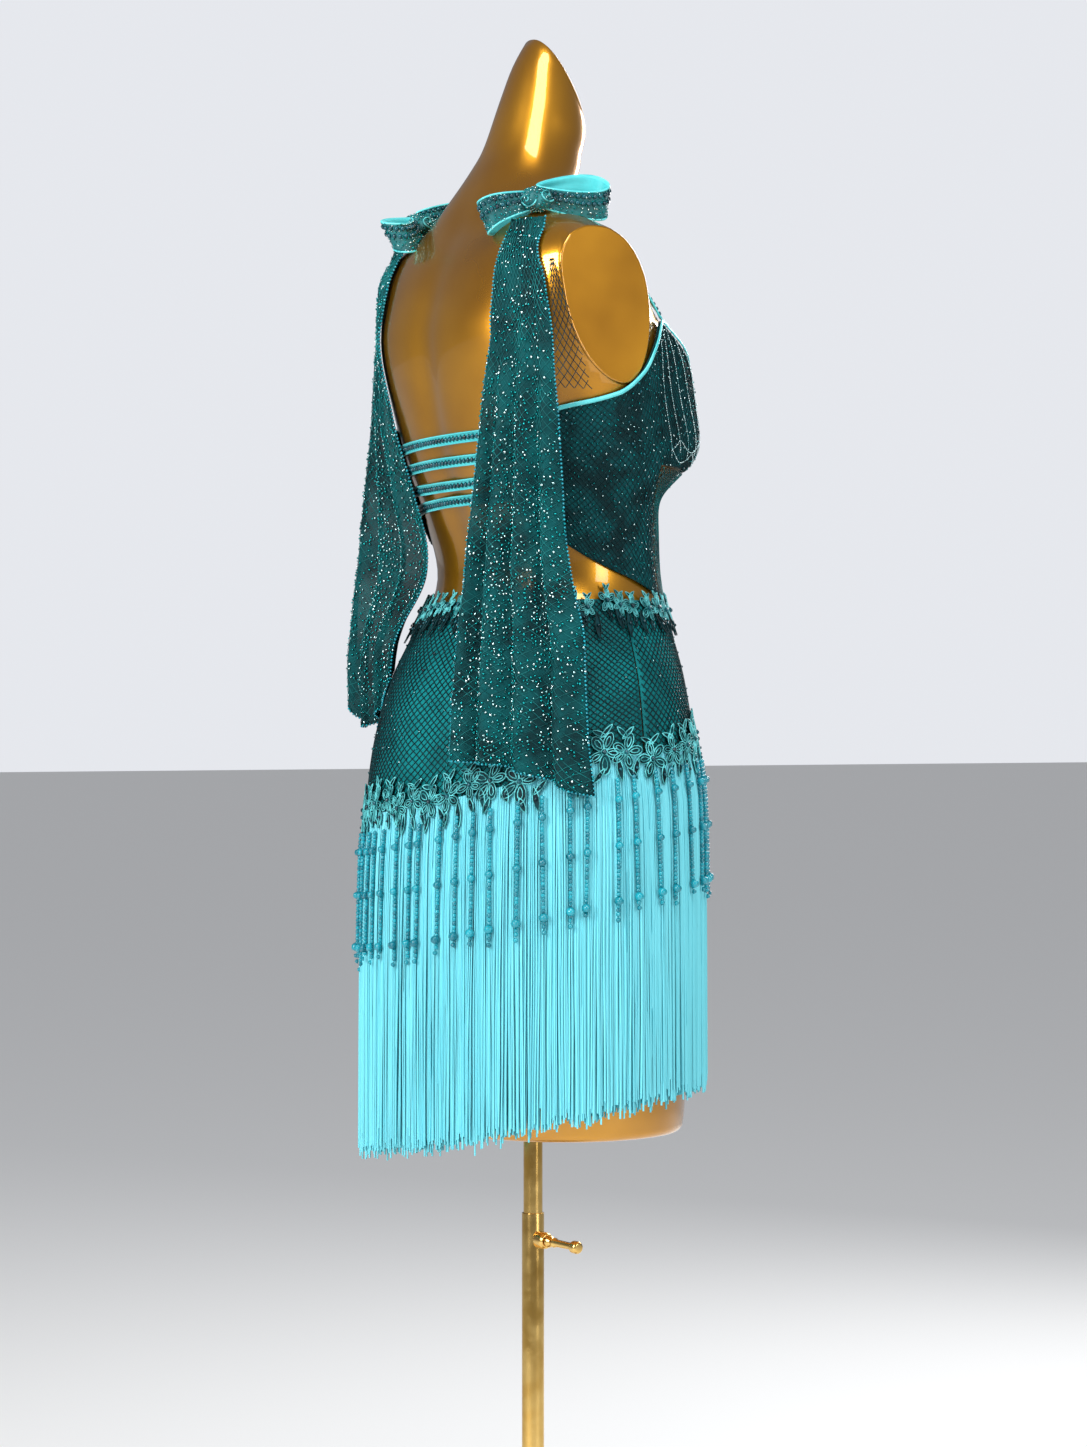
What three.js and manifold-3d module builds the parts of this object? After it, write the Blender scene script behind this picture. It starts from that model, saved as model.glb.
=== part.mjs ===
// A fringed salsa dance dress, worn by a limbless dress form on a telescopic stand.
//
// Millimetres, +Z up. The wearer faces -Y, so the wearer's left is +X and the back is +Y.
// The origin is on the floor, on the axis of the stand's tubes.
// A turn is an angle round the figure: 0 is the middle of the front, 90 the wearer's left
// side, -90 the right side and 180 the middle of the back.

import * as THREE from "three";
import { mergeVertices } from "three/addons/utils/BufferGeometryUtils.js";
import Module from "manifold-3d";

const wasm = await Module();
wasm.setup();

// ---------------------------------------------------------------- driving dimensions

const SEAM = 0.3; // the gap where two pieces meet
const SEAM_TURN = 0.25; // and that gap at an upright seam, as a turn each way
const CLOTH = 1.5; // thickness of the dress cloth
const SKIN = 2.2; // how far the dress cloth stands off the form

const WAIST = 1107; // height of the skirt's top edge
const UNDERBUST = 1228; // height of the seam below the cups
const HIP_LINE = 950; // mean height of the slanting line where the fringe starts
const HIP_RISE = 34; // the line rises this much at the front right, and falls at the back left
const HIP_HIGH_TURN = -45; // where that line is highest
const FRINGE_LENGTH = 298;
const BEAD_LENGTH = 128; // length of the beaded strands over the fringe

const ARM_CUT = 142; // the arms are cut off flat this far from the middle
const ARM_LOW = 1240; // and only above this height
const FORM_BASE = 640; // underside of the form
const TUBE_TOP = 560; // top of the stand's outer tube
const OUTER_TUBE = 10; // outer radius of the outer tube
const TUBE_BORE = 9; // and its bore
const INNER_TUBE = 8.6; // outer radius of the sliding tube
const SCREW_HEIGHT = 537; // height of the locking screw's axis

const radians = THREE.MathUtils.degToRad;

// ---------------------------------------------------------------- the figure

// Horizontal sections of the form: half its width, the middle of its depth, and how far
// it reaches behind and in front of that middle. Up the neck the sections tilt back.
const FORM_SECTIONS = [
  { z: 640, half: 153, mid: 0, back: 112, front: 116, tilt: 0 },
  { z: 700, half: 159, mid: 0, back: 118, front: 118, tilt: 0 },
  { z: 780, half: 165, mid: 0, back: 124, front: 120, tilt: 0 },
  { z: 860, half: 168, mid: 0, back: 128, front: 121, tilt: 0 },
  { z: 930, half: 168, mid: 0, back: 129, front: 121, tilt: 0 },
  { z: 985, half: 161, mid: -2, back: 125, front: 117, tilt: 0 },
  { z: 1040, half: 147, mid: -6, back: 114, front: 107, tilt: 0 },
  { z: 1085, half: 127, mid: -10, back: 98, front: 97, tilt: 0 },
  { z: 1130, half: 112, mid: -13, back: 85, front: 89, tilt: 0 },
  { z: 1180, half: 115, mid: -7, back: 90, front: 91, tilt: 0 },
  { z: 1233, half: 127, mid: 3, back: 98, front: 92, tilt: 0 },
  { z: 1290, half: 138, mid: 10, back: 103, front: 88, tilt: 0 },
  { z: 1340, half: 151, mid: 13, back: 105, front: 82, tilt: 0 },
  { z: 1375, half: 160, mid: 18, back: 93, front: 77, tilt: 0 },
  { z: 1400, half: 165, mid: 24, back: 79, front: 68, tilt: 0 },
  { z: 1418, half: 157, mid: 28, back: 66, front: 58, tilt: 0 },
  { z: 1432, half: 134, mid: 31, back: 54, front: 49, tilt: 0 },
  { z: 1443, half: 102, mid: 32, back: 48, front: 46, tilt: 0 },
  { z: 1456, half: 81, mid: 30, back: 46, front: 45, tilt: 0 },
  { z: 1468, half: 68, mid: 25, back: 46, front: 45, tilt: 0 },
  { z: 1480, half: 57, mid: 18, back: 47, front: 46, tilt: 0 },
  { z: 1492, half: 50, mid: 10, back: 46, front: 45, tilt: 4 },
  { z: 1506, half: 45, mid: 3, back: 43, front: 43, tilt: 9 },
  { z: 1522, half: 41, mid: -4, back: 43, front: 40, tilt: 18 },
  { z: 1540, half: 38, mid: -12, back: 46, front: 40, tilt: 34 },
  { z: 1556, half: 34, mid: -19, back: 51, front: 43, tilt: 48 },
  { z: 1568, half: 30, mid: -24, back: 54, front: 47, tilt: 60 },
];
const ROUNDNESS = 2.2; // 2 is an ellipse, and more is squarer
const AROUND = 36; // faces round the figure, and round the skirt

// Soft swellings (+) and hollows (-) added to the sections, on both sides of the middle.
const BUST = { x: 62, z: 1278, wide: 46, above: 88, below: 62, depth: 47, power: 4 };
const SHOULDER_BLADE = { x: 66, z: 1345, wide: 40, above: 50, below: 60, depth: 4, power: 2 };
const SPINE = { x: 0, z: 1280, wide: 17, above: 120, below: 150, depth: -5, power: 2 };

/** The value of one column of a table where its key column is `at`, on a smooth curve. */
function read(table, key, column, at) {
  const last = table.length - 1;
  let i = 0;
  while (i < last - 1 && at > table[i + 1][key]) i += 1;
  const slope = (k) => {
    const lo = table[Math.max(k - 1, 0)];
    const hi = table[Math.min(k + 1, last)];
    return (hi[column] - lo[column]) / (hi[key] - lo[key]);
  };
  const step = table[i + 1][key] - table[i][key];
  const t = THREE.MathUtils.clamp((at - table[i][key]) / step, 0, 1);
  const [t2, t3] = [t * t, t * t * t];
  return (
    (2 * t3 - 3 * t2 + 1) * table[i][column] +
    (t3 - 2 * t2 + t) * step * slope(i) +
    (3 * t2 - 2 * t3) * table[i + 1][column] +
    (t3 - t2) * step * slope(i + 1)
  );
}

/** How much a soft swelling adds at a place on the figure. */
function swelling(shape, x, z) {
  const high = Math.abs(z - shape.z) / (z > shape.z ? shape.above : shape.below);
  const across = (Math.abs(x) - shape.x) / shape.wide;
  return shape.depth * Math.exp(-across * across - high ** shape.power);
}

/** The point of the form's surface at a turn (in degrees) and the height of its section. */
function figure(turn, z) {
  const column = (name) => read(FORM_SECTIONS, "z", name, z);
  const [s, c] = [Math.sin(radians(turn)), Math.cos(radians(turn))];
  const rounded = (v) => Math.sign(v) * Math.abs(v) ** (2 / ROUNDNESS);
  let x = column("half") * rounded(s);
  let deep = -(c > 0 ? column("front") : column("back")) * rounded(c);
  const front = THREE.MathUtils.smoothstep(c, -0.2, 0.3);
  const extra =
    front * swelling(BUST, x, z) +
    (1 - front) * (swelling(SHOULDER_BLADE, x, z) + swelling(SPINE, x, z));
  x += extra * s;
  if (z > ARM_LOW) x = THREE.MathUtils.clamp(x, -ARM_CUT, ARM_CUT);
  deep -= extra * c;
  const tilt = radians(column("tilt"));
  return new THREE.Vector3(x, column("mid") + deep * Math.cos(tilt), z + deep * Math.sin(tilt));
}

/** The point that stands off the form by `lift`, square to its surface. */
function off(turn, z, lift) {
  const around = figure(turn + 1, z).sub(figure(turn - 1, z));
  const up = figure(turn, z + 2).sub(figure(turn, z - 2));
  return figure(turn, z).addScaledVector(around.cross(up).normalize(), lift);
}

/** The turn at which the section at height z has this x, on the front or on the back. */
function turnAt(x, z, side) {
  const share = Math.min(Math.abs(x) / read(FORM_SECTIONS, "z", "half", z), 1);
  const angle = THREE.MathUtils.radToDeg(Math.asin(share ** (ROUNDNESS / 2)));
  return Math.sign(x) * (side === "front" ? angle : 180 - angle);
}

// ---------------------------------------------------------------- making closed meshes

/** A geometry from points and faces (lists of point numbers), turned to face outwards. */
function geometryOf(points, faces) {
  const triangles = faces.flatMap((f) => f.slice(2).map((_, i) => [f[0], f[i + 1], f[i + 2]]));
  let volume = 0;
  for (const [a, b, c] of triangles)
    volume += points[a].dot(points[b].clone().cross(points[c]));
  if (volume < 0) triangles.forEach((t) => t.reverse());
  const geometry = new THREE.BufferGeometry().setFromPoints(points);
  geometry.setIndex(triangles.flat());
  geometry.computeVertexNormals();
  return geometry;
}

/** A solid through closed rings of points, with flat ends, or joined end to end. */
function loft(rings, looped = false) {
  const around = rings[0].length;
  const faces = [];
  const at = (i, j) => (i % rings.length) * around + (j % around);
  for (let i = 0; i < rings.length - (looped ? 0 : 1); i += 1)
    for (let j = 0; j < around; j += 1)
      faces.push([at(i, j), at(i, j + 1), at(i + 1, j + 1), at(i + 1, j)]);
  const points = rings.flat();
  if (!looped)
    for (const end of [0, rings.length - 1]) {
      const middle = new THREE.Vector3();
      rings[end].forEach((p) => middle.addScaledVector(p, 1 / around));
      points.push(middle);
      for (let j = 0; j < around; j += 1) {
        const face = [points.length - 1, at(end, j), at(end, j + 1)];
        faces.push(end ? face : face.reverse());
      }
    }
  return geometryOf(points, faces);
}

/** A wall of cloth: place(u, v, lift) is a point of it, with u and v from 0 to 1. */
function wall(columns, rows, thickness, place, looped = false) {
  const across = looped ? columns : columns + 1;
  const points = [];
  for (const lift of [0, thickness])
    for (let i = 0; i <= rows; i += 1)
      for (let j = 0; j < across; j += 1) points.push(place(j / columns, i / rows, lift));
  const at = (side, i, j) => side * across * (rows + 1) + i * across + (j % across);
  const faces = [];
  for (let j = 0; j < columns; j += 1) {
    for (let i = 0; i < rows; i += 1) {
      faces.push([at(0, i, j), at(0, i, j + 1), at(0, i + 1, j + 1), at(0, i + 1, j)]);
      faces.push([at(1, i, j), at(1, i + 1, j), at(1, i + 1, j + 1), at(1, i, j + 1)]);
    }
    faces.push([at(0, 0, j), at(1, 0, j), at(1, 0, j + 1), at(0, 0, j + 1)]);
    faces.push([at(0, rows, j), at(0, rows, j + 1), at(1, rows, j + 1), at(1, rows, j)]);
  }
  if (!looped)
    for (let i = 0; i < rows; i += 1) {
      faces.push([at(0, i, 0), at(0, i + 1, 0), at(1, i + 1, 0), at(1, i, 0)]);
      faces.push([at(0, i, columns), at(1, i, columns), at(1, i + 1, columns), at(0, i + 1, columns)]);
    }
  return geometryOf(points, faces);
}

/** A flat band along a path of { point, normal }, lying on the path's side of its normal. */
function band(path, width, thickness) {
  const rings = path.map(({ point, normal }, i) => {
    const ahead = path[Math.min(i + 1, path.length - 1)].point;
    const behind = path[Math.max(i - 1, 0)].point;
    const side = ahead.clone().sub(behind).cross(normal).normalize();
    const corner = (across, lift) =>
      point.clone().addScaledVector(side, across * width).addScaledVector(normal, lift);
    return [corner(-0.5, 0), corner(0.5, 0), corner(0.5, thickness), corner(-0.5, thickness)];
  });
  return loft(rings);
}

/** A path along the form: place(share) gives [turn, z], and lift is how far it stands off. */
function pathOnForm(steps, lift, place) {
  return Array.from({ length: steps + 1 }, (_, i) => {
    const [turn, z] = place(i / steps);
    const point = off(turn, z, lift);
    return { point, normal: off(turn, z, lift + 1).sub(point).normalize() };
  });
}

/** A cut piece lying on the form between two turns and two edges given as functions. */
function panel({ from, to, low, high, columns, rows, lift = SKIN, thickness = CLOTH }) {
  return wall(columns, rows, thickness, (u, v, out) => {
    const turn = from + (to - from) * u;
    return off(turn, low(turn) + (high(turn) - low(turn)) * v, lift + out);
  });
}

/** A turned solid about Z from [radius, height] pairs that close on themselves. */
function turned(profile, segments) {
  const outline = [...profile, profile[0]].map(([r, z]) => new THREE.Vector2(r, z));
  const geometry = new THREE.LatheGeometry(outline, segments);
  return geometry.rotateX(Math.PI / 2);
}

/** A turned solid laid along -X, as the locking screw lies. */
function turnedAlongScrew(profile, segments) {
  return turned(profile, segments)
    .rotateY(-Math.PI / 2)
    .translate(0, 0, SCREW_HEIGHT);
}

/** A geometry as a manifold-3d solid, for cutting. */
function solid(geometry) {
  const bare = geometry.clone();
  bare.deleteAttribute("normal");
  bare.deleteAttribute("uv");
  const merged = mergeVertices(bare, 1e-3);
  return new wasm.Manifold(
    new wasm.Mesh({
      numProp: 3,
      vertProperties: merged.attributes.position.array,
      triVerts: new Uint32Array(merged.index.array),
    }),
  );
}

/** One geometry with another cut out of it. */
function cut(geometry, tool) {
  const mesh = solid(geometry).subtract(solid(tool)).getMesh();
  const left = new THREE.BufferGeometry();
  left.setAttribute("position", new THREE.BufferAttribute(mesh.vertProperties, 3));
  left.setIndex(new THREE.BufferAttribute(mesh.triVerts, 1));
  left.computeVertexNormals();
  return left;
}

// ---------------------------------------------------------------- materials and nodes

const finish = (color, roughness, metalness) =>
  new THREE.MeshStandardMaterial({ color, roughness, metalness });
const GOLD_PAINT = finish(0xb8860b, 0.28, 0.6);
const BRASS = finish(0xc9a24a, 0.2, 1);
const NET = finish(0x0b5a5c, 0.5, 0.1);
const SATIN = finish(0x4ed8dc, 0.45, 0);
const FRINGE = finish(0x5fdcea, 0.55, 0);
const LACE = finish(0x2fa9a9, 0.6, 0);
const BEADS = finish(0x128a9c, 0.1, 0.1);

const dress = new THREE.Group();
function add(name, geometry, material) {
  const mesh = new THREE.Mesh(geometry, material);
  mesh.name = name;
  dress.add(mesh);
}

// ---------------------------------------------------------------- the stand

const PLATE_TOP = 9;
const HUB_TOP = 24;
const INNER_TUBE_FOOT = 110; // the sliding tube still reaches this far down
const INNER_TUBE_TOP = 716;
const SOCKET_TOP = 720; // the top of the form's blind hole

function addStand() {
  const plate = [
    [0, 0],
    [150, 0],
    [152, 3],
    [148, PLATE_TOP - 1],
    [60, PLATE_TOP + 2],
    [20, PLATE_TOP + 5],
    [16, HUB_TOP],
    [0, HUB_TOP],
  ];
  add("base_plate", turned(plate, 40), BRASS);

  const tube = turned(
    [
      [TUBE_BORE, HUB_TOP + SEAM],
      [OUTER_TUBE, HUB_TOP + SEAM],
      [OUTER_TUBE, TUBE_TOP],
      [TUBE_BORE, TUBE_TOP],
    ],
    28,
  );
  const screwHole = new THREE.CylinderGeometry(3.4, 3.4, 12, 16);
  screwHole.rotateZ(Math.PI / 2).translate(-OUTER_TUBE, 0, SCREW_HEIGHT);
  add("outer_tube", cut(tube, screwHole), BRASS);

  const boss = [
    [3.4, OUTER_TUBE + SEAM],
    [7.5, OUTER_TUBE + SEAM],
    [7.5, 20],
    [6, 23],
    [3.4, 23],
  ];
  add("screw_boss", turnedAlongScrew(boss, 16), BRASS);

  const screw = [
    [0, INNER_TUBE + 0.6],
    [2.9, INNER_TUBE + 0.6],
    [2.9, 24],
    [5.4, 24.6],
    [5.4, 27],
    [3, 30],
    [4.6, 34],
    [3.4, 37],
    [3.2, 60],
    [5.6, 63],
    [5.6, 69],
    [4, 71],
    [0, 71],
  ];
  add("locking_screw", turnedAlongScrew(screw, 16), BRASS);

  const sliding = [
    [INNER_TUBE - 1.2, INNER_TUBE_FOOT],
    [INNER_TUBE, INNER_TUBE_FOOT],
    [INNER_TUBE, INNER_TUBE_TOP],
    [INNER_TUBE - 1.2, INNER_TUBE_TOP],
  ];
  add("inner_tube", turned(sliding, 28), BRASS);
}

// ---------------------------------------------------------------- the form

function addForm() {
  const heights = FORM_SECTIONS.flatMap(({ z }, i) => {
    const next = FORM_SECTIONS[i + 1];
    return next && next.z - z > 30 ? [z, (z + next.z) / 2] : [z];
  });
  const ring = (z) => Array.from({ length: AROUND }, (_, j) => figure((j * 360) / AROUND, z));
  const lip = ring(FORM_BASE).map((p) => p.multiply(new THREE.Vector3(0.95, 0.95, 1)));
  const body = loft([lip, ...heights.map((z) => ring(z + (z === FORM_BASE ? 8 : 0)))]);
  const socket = new THREE.CylinderGeometry(TUBE_BORE, TUBE_BORE, 2 * (SOCKET_TOP - FORM_BASE), 28);
  socket.rotateX(Math.PI / 2).translate(0, 0, FORM_BASE);
  add("form", cut(body, socket), GOLD_PAINT);

  const flange = [
    [TUBE_BORE, FORM_BASE - 6],
    [34, FORM_BASE - 6],
    [36, FORM_BASE - 4],
    [36, FORM_BASE - SEAM],
    [TUBE_BORE, FORM_BASE - SEAM],
  ];
  add("form_flange", turned(flange, 28), BRASS);
}

// ---------------------------------------------------------------- bodice

const CUP_EDGE = 60; // the turn of the seam between a cup and its side panel
const SIDE_EDGE = 140; // the turn of the side panel's edge behind the arm

// Heights of the bodice's top and bottom edges round one side of the figure.
const BODICE_EDGES = [
  { turn: 0, top: 1272, bottom: WAIST + 1 },
  { turn: 12, top: 1289, bottom: WAIST + 1 },
  { turn: 26, top: 1326, bottom: WAIST + 1 },
  { turn: 42, top: 1352, bottom: WAIST + 1 },
  { turn: 52, top: 1348, bottom: WAIST + 3 },
  { turn: 64, top: 1328, bottom: 1114 },
  { turn: 74, top: 1308, bottom: 1120 },
  { turn: 90, top: 1287, bottom: 1131 },
  { turn: 115, top: 1274, bottom: 1152 },
  { turn: 140, top: 1262, bottom: 1184 },
];
const topEdge = (turn) => read(BODICE_EDGES, "turn", "top", Math.abs(turn));
const bottomEdge = (turn) => read(BODICE_EDGES, "turn", "bottom", Math.abs(turn));

// Heights of the back straps' ends, top to bottom.
const BACK_STRAPS = [
  { left: 1245, right: 1252 },
  { left: 1227, right: 1232 },
  { left: 1210, right: 1214 },
  { left: 1193, right: 1199 },
];
const BACK_STRAP = { width: 9.5, thickness: CLOTH, lift: 1.4 };
const FRONT_STRAP = { footX: 101, topX: 86, foot: 1356, top: 1434, width: 12 };

function addBodice() {
  for (const [side, sign] of [
    ["left", 1],
    ["right", -1],
  ]) {
    const cup = { low: () => UNDERBUST + SEAM, high: topEdge, columns: 12, rows: 9 };
    add(`cup_${side}`, panel({ ...cup, from: sign * SEAM_TURN, to: sign * (CUP_EDGE - SEAM_TURN) }), NET);
    const sidePanel = { low: bottomEdge, high: topEdge, columns: 10, rows: 6 };
    add(
      `side_panel_${side}`,
      panel({ ...sidePanel, from: sign * (CUP_EDGE + SEAM_TURN), to: sign * SIDE_EDGE }),
      NET,
    );
    const piping = pathOnForm(28, SKIN + CLOTH + 3 * SEAM, (share) => {
      const turn = sign * (1.2 + (SIDE_EDGE - 1.2) * share);
      return [turn, topEdge(turn) - 1];
    });
    add(`top_binding_${side}`, band(piping, 4, 1.8), SATIN);

    const strap = pathOnForm(8, SKIN, (share) => {
      const z = FRONT_STRAP.foot + (FRONT_STRAP.top - FRONT_STRAP.foot) * share;
      const x = FRONT_STRAP.footX + (FRONT_STRAP.topX - FRONT_STRAP.footX) * share;
      return [turnAt(sign * x, z, "front"), z];
    });
    add(`front_strap_${side}`, band(strap, FRONT_STRAP.width, CLOTH), SATIN);
  }
  add(
    "net_front",
    panel({
      from: SEAM_TURN - CUP_EDGE,
      to: CUP_EDGE - SEAM_TURN,
      low: (turn) => bottomEdge(turn) + SEAM,
      high: () => UNDERBUST,
      columns: 16,
      rows: 6,
    }),
    NET,
  );
  BACK_STRAPS.forEach(({ left, right }, i) => {
    const reach = 180 - SIDE_EDGE - 0.3;
    const path = pathOnForm(10, BACK_STRAP.lift, (share) => [
      180 + reach * (2 * share - 1),
      left + (right - left) * share,
    ]);
    bridgeSpine(path);
    add(`back_strap_${i + 1}`, band(path, BACK_STRAP.width, BACK_STRAP.thickness), SATIN);
  });
}

/** Lets a strap run straight over the hollow of the spine instead of down into it. */
function bridgeSpine(path) {
  for (const { point } of path) {
    const across = point.x / SPINE.wide;
    point.y -= SPINE.depth * Math.exp(-across * across);
  }
}

// ---------------------------------------------------------------- shoulder bows

// Each bow is a knot and two loops. The loops are bands set on edge: they run from the
// knot along `run`, stand along `up`, and are `length` long and `open` wide.
const KNOT = { x: 94, y: 62, z: 1454, radius: 9.5 };
const BOW_LOOPS = [
  { name: "front", run: [0.17, -0.99, 0.06], up: [0.25, 0, 1], length: 56, open: 24, width: 20 },
  { name: "back", run: [-0.45, 0.75, -0.4], up: [0.1, 0.5, 1], length: 47, open: 22, width: 26 },
];

function bowLoop({ run, up, length, open, width }, sign) {
  const flip = new THREE.Vector3(sign, 1, 1);
  const along = new THREE.Vector3(...run).normalize().multiply(flip);
  const upward = new THREE.Vector3(...up).multiply(flip);
  const across = along.clone().cross(upward).normalize();
  const stand = across.clone().cross(along).normalize();
  const root = new THREE.Vector3(sign * KNOT.x, KNOT.y, KNOT.z);
  root.addScaledVector(along, KNOT.radius + 2.5);
  return wall(
    20,
    2,
    CLOTH,
    (u, v, out) => {
      const angle = u * 2 * Math.PI;
      const far = (1 - Math.cos(angle)) / 2;
      const plump = 0.35 + 0.65 * far;
      const a = length * far;
      const b = (open / 2) * Math.sin(angle) * plump;
      const outward = new THREE.Vector2(-Math.cos(angle) / length, Math.sin(angle) / open).normalize();
      const gathered = width * (0.6 + 0.4 * far) * (v - 0.5);
      return root
        .clone()
        .addScaledVector(along, a + out * outward.x)
        .addScaledVector(across, b + out * outward.y)
        .addScaledVector(stand, gathered);
    },
    true,
  );
}

function addBows() {
  for (const [side, sign] of [
    ["left", 1],
    ["right", -1],
  ]) {
    const knot = new THREE.SphereGeometry(KNOT.radius, 12, 8);
    knot.scale(1.15, 1, 0.95).translate(sign * KNOT.x, KNOT.y, KNOT.z);
    add(`bow_knot_${side}`, knot, SATIN);
    for (const loop of BOW_LOOPS) add(`bow_${loop.name}_${side}`, bowLoop(loop, sign), SATIN);
  }
}

// ---------------------------------------------------------------- shoulder drapes

// The net hanging from each bow down the back: where each drape's inner and outer edges
// are, out from the middle (x) and back (y), at a few heights.
const DRAPE_ROWS = {
  right: [
    { z: 930, inner: 82, outer: 174, innerY: 139, outerY: 62 },
    { z: 985, inner: 82, outer: 164, innerY: 136, outerY: 62 },
    { z: 1070, inner: 79, outer: 163, innerY: 128, outerY: 66 },
    { z: 1139, inner: 84, outer: 150, innerY: 122, outerY: 72 },
    { z: 1207, inner: 84, outer: 147, innerY: 115, outerY: 75 },
    { z: 1276, inner: 86, outer: 145, innerY: 110, outerY: 78 },
    { z: 1340, inner: 91, outer: 138, innerY: 104, outerY: 78 },
    { z: 1395, inner: 88, outer: 130, innerY: 94, outerY: 81 },
    { z: 1424, inner: 80, outer: 124, innerY: 84, outerY: 74 },
  ],
  left: [
    { z: 930, inner: 112, outer: 172, innerY: 80, outerY: 86 },
    { z: 985, inner: 104, outer: 172, innerY: 80, outerY: 86 },
    { z: 1070, inner: 82, outer: 172, innerY: 90, outerY: 86 },
    { z: 1139, inner: 38, outer: 166, innerY: 82, outerY: 84 },
    { z: 1207, inner: 48, outer: 155, innerY: 92, outerY: 81 },
    { z: 1276, inner: 66, outer: 144, innerY: 105, outerY: 78 },
    { z: 1340, inner: 75, outer: 138, innerY: 104, outerY: 78 },
    { z: 1395, inner: 80, outer: 130, innerY: 94, outerY: 81 },
    { z: 1424, inner: 78, outer: 124, innerY: 84, outerY: 74 },
  ],
};
const DRAPE_TOP = 1424;
const DRAPE = { folds: 3.5, shallow: 1, deep: 7, clear: 4.6, thickness: 1.2 };

// The hems' heights from the inner edge to the outer one.
const DRAPE_HEMS = {
  right: [
    { u: 0, z: 968 },
    { u: 0.5, z: 962 },
    { u: 1, z: 938 },
  ],
  left: [
    { u: 0, z: 1029 },
    { u: 0.65, z: 997 },
    { u: 1, z: 1024 },
  ],
};

/** A point of the drape, at a share u from its inner to its outer edge. */
function drapePoint(sign, side, u, v, lift) {
  const hem = read(DRAPE_HEMS[side], "u", "z", u);
  const z = hem + (DRAPE_TOP - hem) * v;
  const at = (column) => read(DRAPE_ROWS[side], "z", column, z);
  const fallen = THREE.MathUtils.smoothstep(DRAPE_TOP - z, 20, 330);
  const x = at("inner") + (at("outer") - at("inner")) * u;
  let y = at("innerY") + (at("outerY") - at("innerY")) * u ** 1.5;
  const depth = DRAPE.shallow + (DRAPE.deep - DRAPE.shallow) * fallen;
  y += depth * Math.sin(2 * Math.PI * (DRAPE.folds * u + 0.15));
  if (x < read(FORM_SECTIONS, "z", "half", z) - 4) {
    const bare = off(turnAt(x, z, "back"), z, DRAPE.clear + 3 * fallen);
    y = Math.max(y, bare.y);
  }
  return new THREE.Vector3(sign * (x + lift * 0.4 * u), y + lift, z);
}

function addDrapes() {
  for (const [side, sign] of [
    ["left", 1],
    ["right", -1],
  ]) {
    const geometry = wall(16, 12, DRAPE.thickness, (u, v, lift) => drapePoint(sign, side, u, v, lift));
    add(`drape_${side}`, geometry, NET);
  }
}

// ---------------------------------------------------------------- skirt

const hipLine = (turn) => HIP_LINE + HIP_RISE * Math.cos(radians(turn - HIP_HIGH_TURN));

// Sections of what hangs below the hip line, by the distance below it: the faces of the
// fringe, as distances off the form's widest section.
const FRINGE_FACES = [
  { drop: 0, inner: 2.6, outer: 5 },
  { drop: 30, inner: 2.8, outer: 7.6 },
  { drop: 120, inner: 3.6, outer: 10 },
  { drop: FRINGE_LENGTH, inner: 4.2, outer: 11 },
];
const HANG_FROM = 925; // strands hang straight down below this height
const fringeFace = (face, drop) => read(FRINGE_FACES, "drop", face, drop);

/** A point at a distance below the hip line, hanging clear of the form. */
function hanging(turn, drop, lift) {
  const z = hipLine(turn) - drop;
  const point = off(turn, Math.max(z, HANG_FROM), lift);
  return new THREE.Vector3(point.x, point.y, z + point.z - Math.max(z, HANG_FROM));
}

// The lace trims, by distance above and below the edge that each one covers.
const HIP_LACE = { above: 22, below: 27, topLift: 4.7, lowLift: 8.2, thickness: 1.8 };
const WAIST_LACE = { high: WAIST + 5, low: WAIST - 38, topLift: 4.4, lowLift: 7 };

function addSkirt() {
  const half = { low: (turn) => hipLine(turn) + SEAM / 2, high: () => WAIST - SEAM / 2 };
  for (const [name, from] of [
    ["yoke_front", -90],
    ["yoke_back", 90],
  ])
    add(
      name,
      panel({ ...half, from: from + SEAM_TURN, to: from + 180 - SEAM_TURN, columns: AROUND / 2, rows: 8 }),
      NET,
    );

  const fringe = wall(
    AROUND,
    3,
    1,
    (u, v, side) => {
      const drop = FRINGE_LENGTH * (1 - v) ** 1.5 + SEAM / 2;
      return hanging(u * 360, drop, fringeFace(side ? "outer" : "inner", drop));
    },
    true,
  );
  add("fringe", fringe, FRINGE);

  const beads = wall(
    AROUND,
    2,
    2.6,
    (u, v, out) => {
      const drop = HIP_LACE.below + 2 + (BEAD_LENGTH - HIP_LACE.below) * (1 - v);
      return hanging(u * 360, drop, fringeFace("outer", drop) + 1.2 + out);
    },
    true,
  );
  add("bead_strands", beads, BEADS);

  const hipLace = wall(
    AROUND,
    2,
    HIP_LACE.thickness,
    (u, v, out) => {
      const drop = HIP_LACE.below - (HIP_LACE.below + HIP_LACE.above) * v;
      const lift = HIP_LACE.lowLift + (HIP_LACE.topLift - HIP_LACE.lowLift) * v;
      return hanging(u * 360, drop, lift + out);
    },
    true,
  );
  add("lace_hip", hipLace, LACE);

  const waistLace = wall(
    AROUND,
    2,
    HIP_LACE.thickness,
    (u, v, out) => {
      const z = WAIST_LACE.low + (WAIST_LACE.high - WAIST_LACE.low) * v;
      const lift = WAIST_LACE.lowLift + (WAIST_LACE.topLift - WAIST_LACE.lowLift) * v;
      return off(u * 360, z, lift + out);
    },
    true,
  );
  add("lace_waist", waistLace, LACE);
}

addStand();
addForm();
addBodice();
addBows();
addDrapes();
addSkirt();

export default dress;
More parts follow.
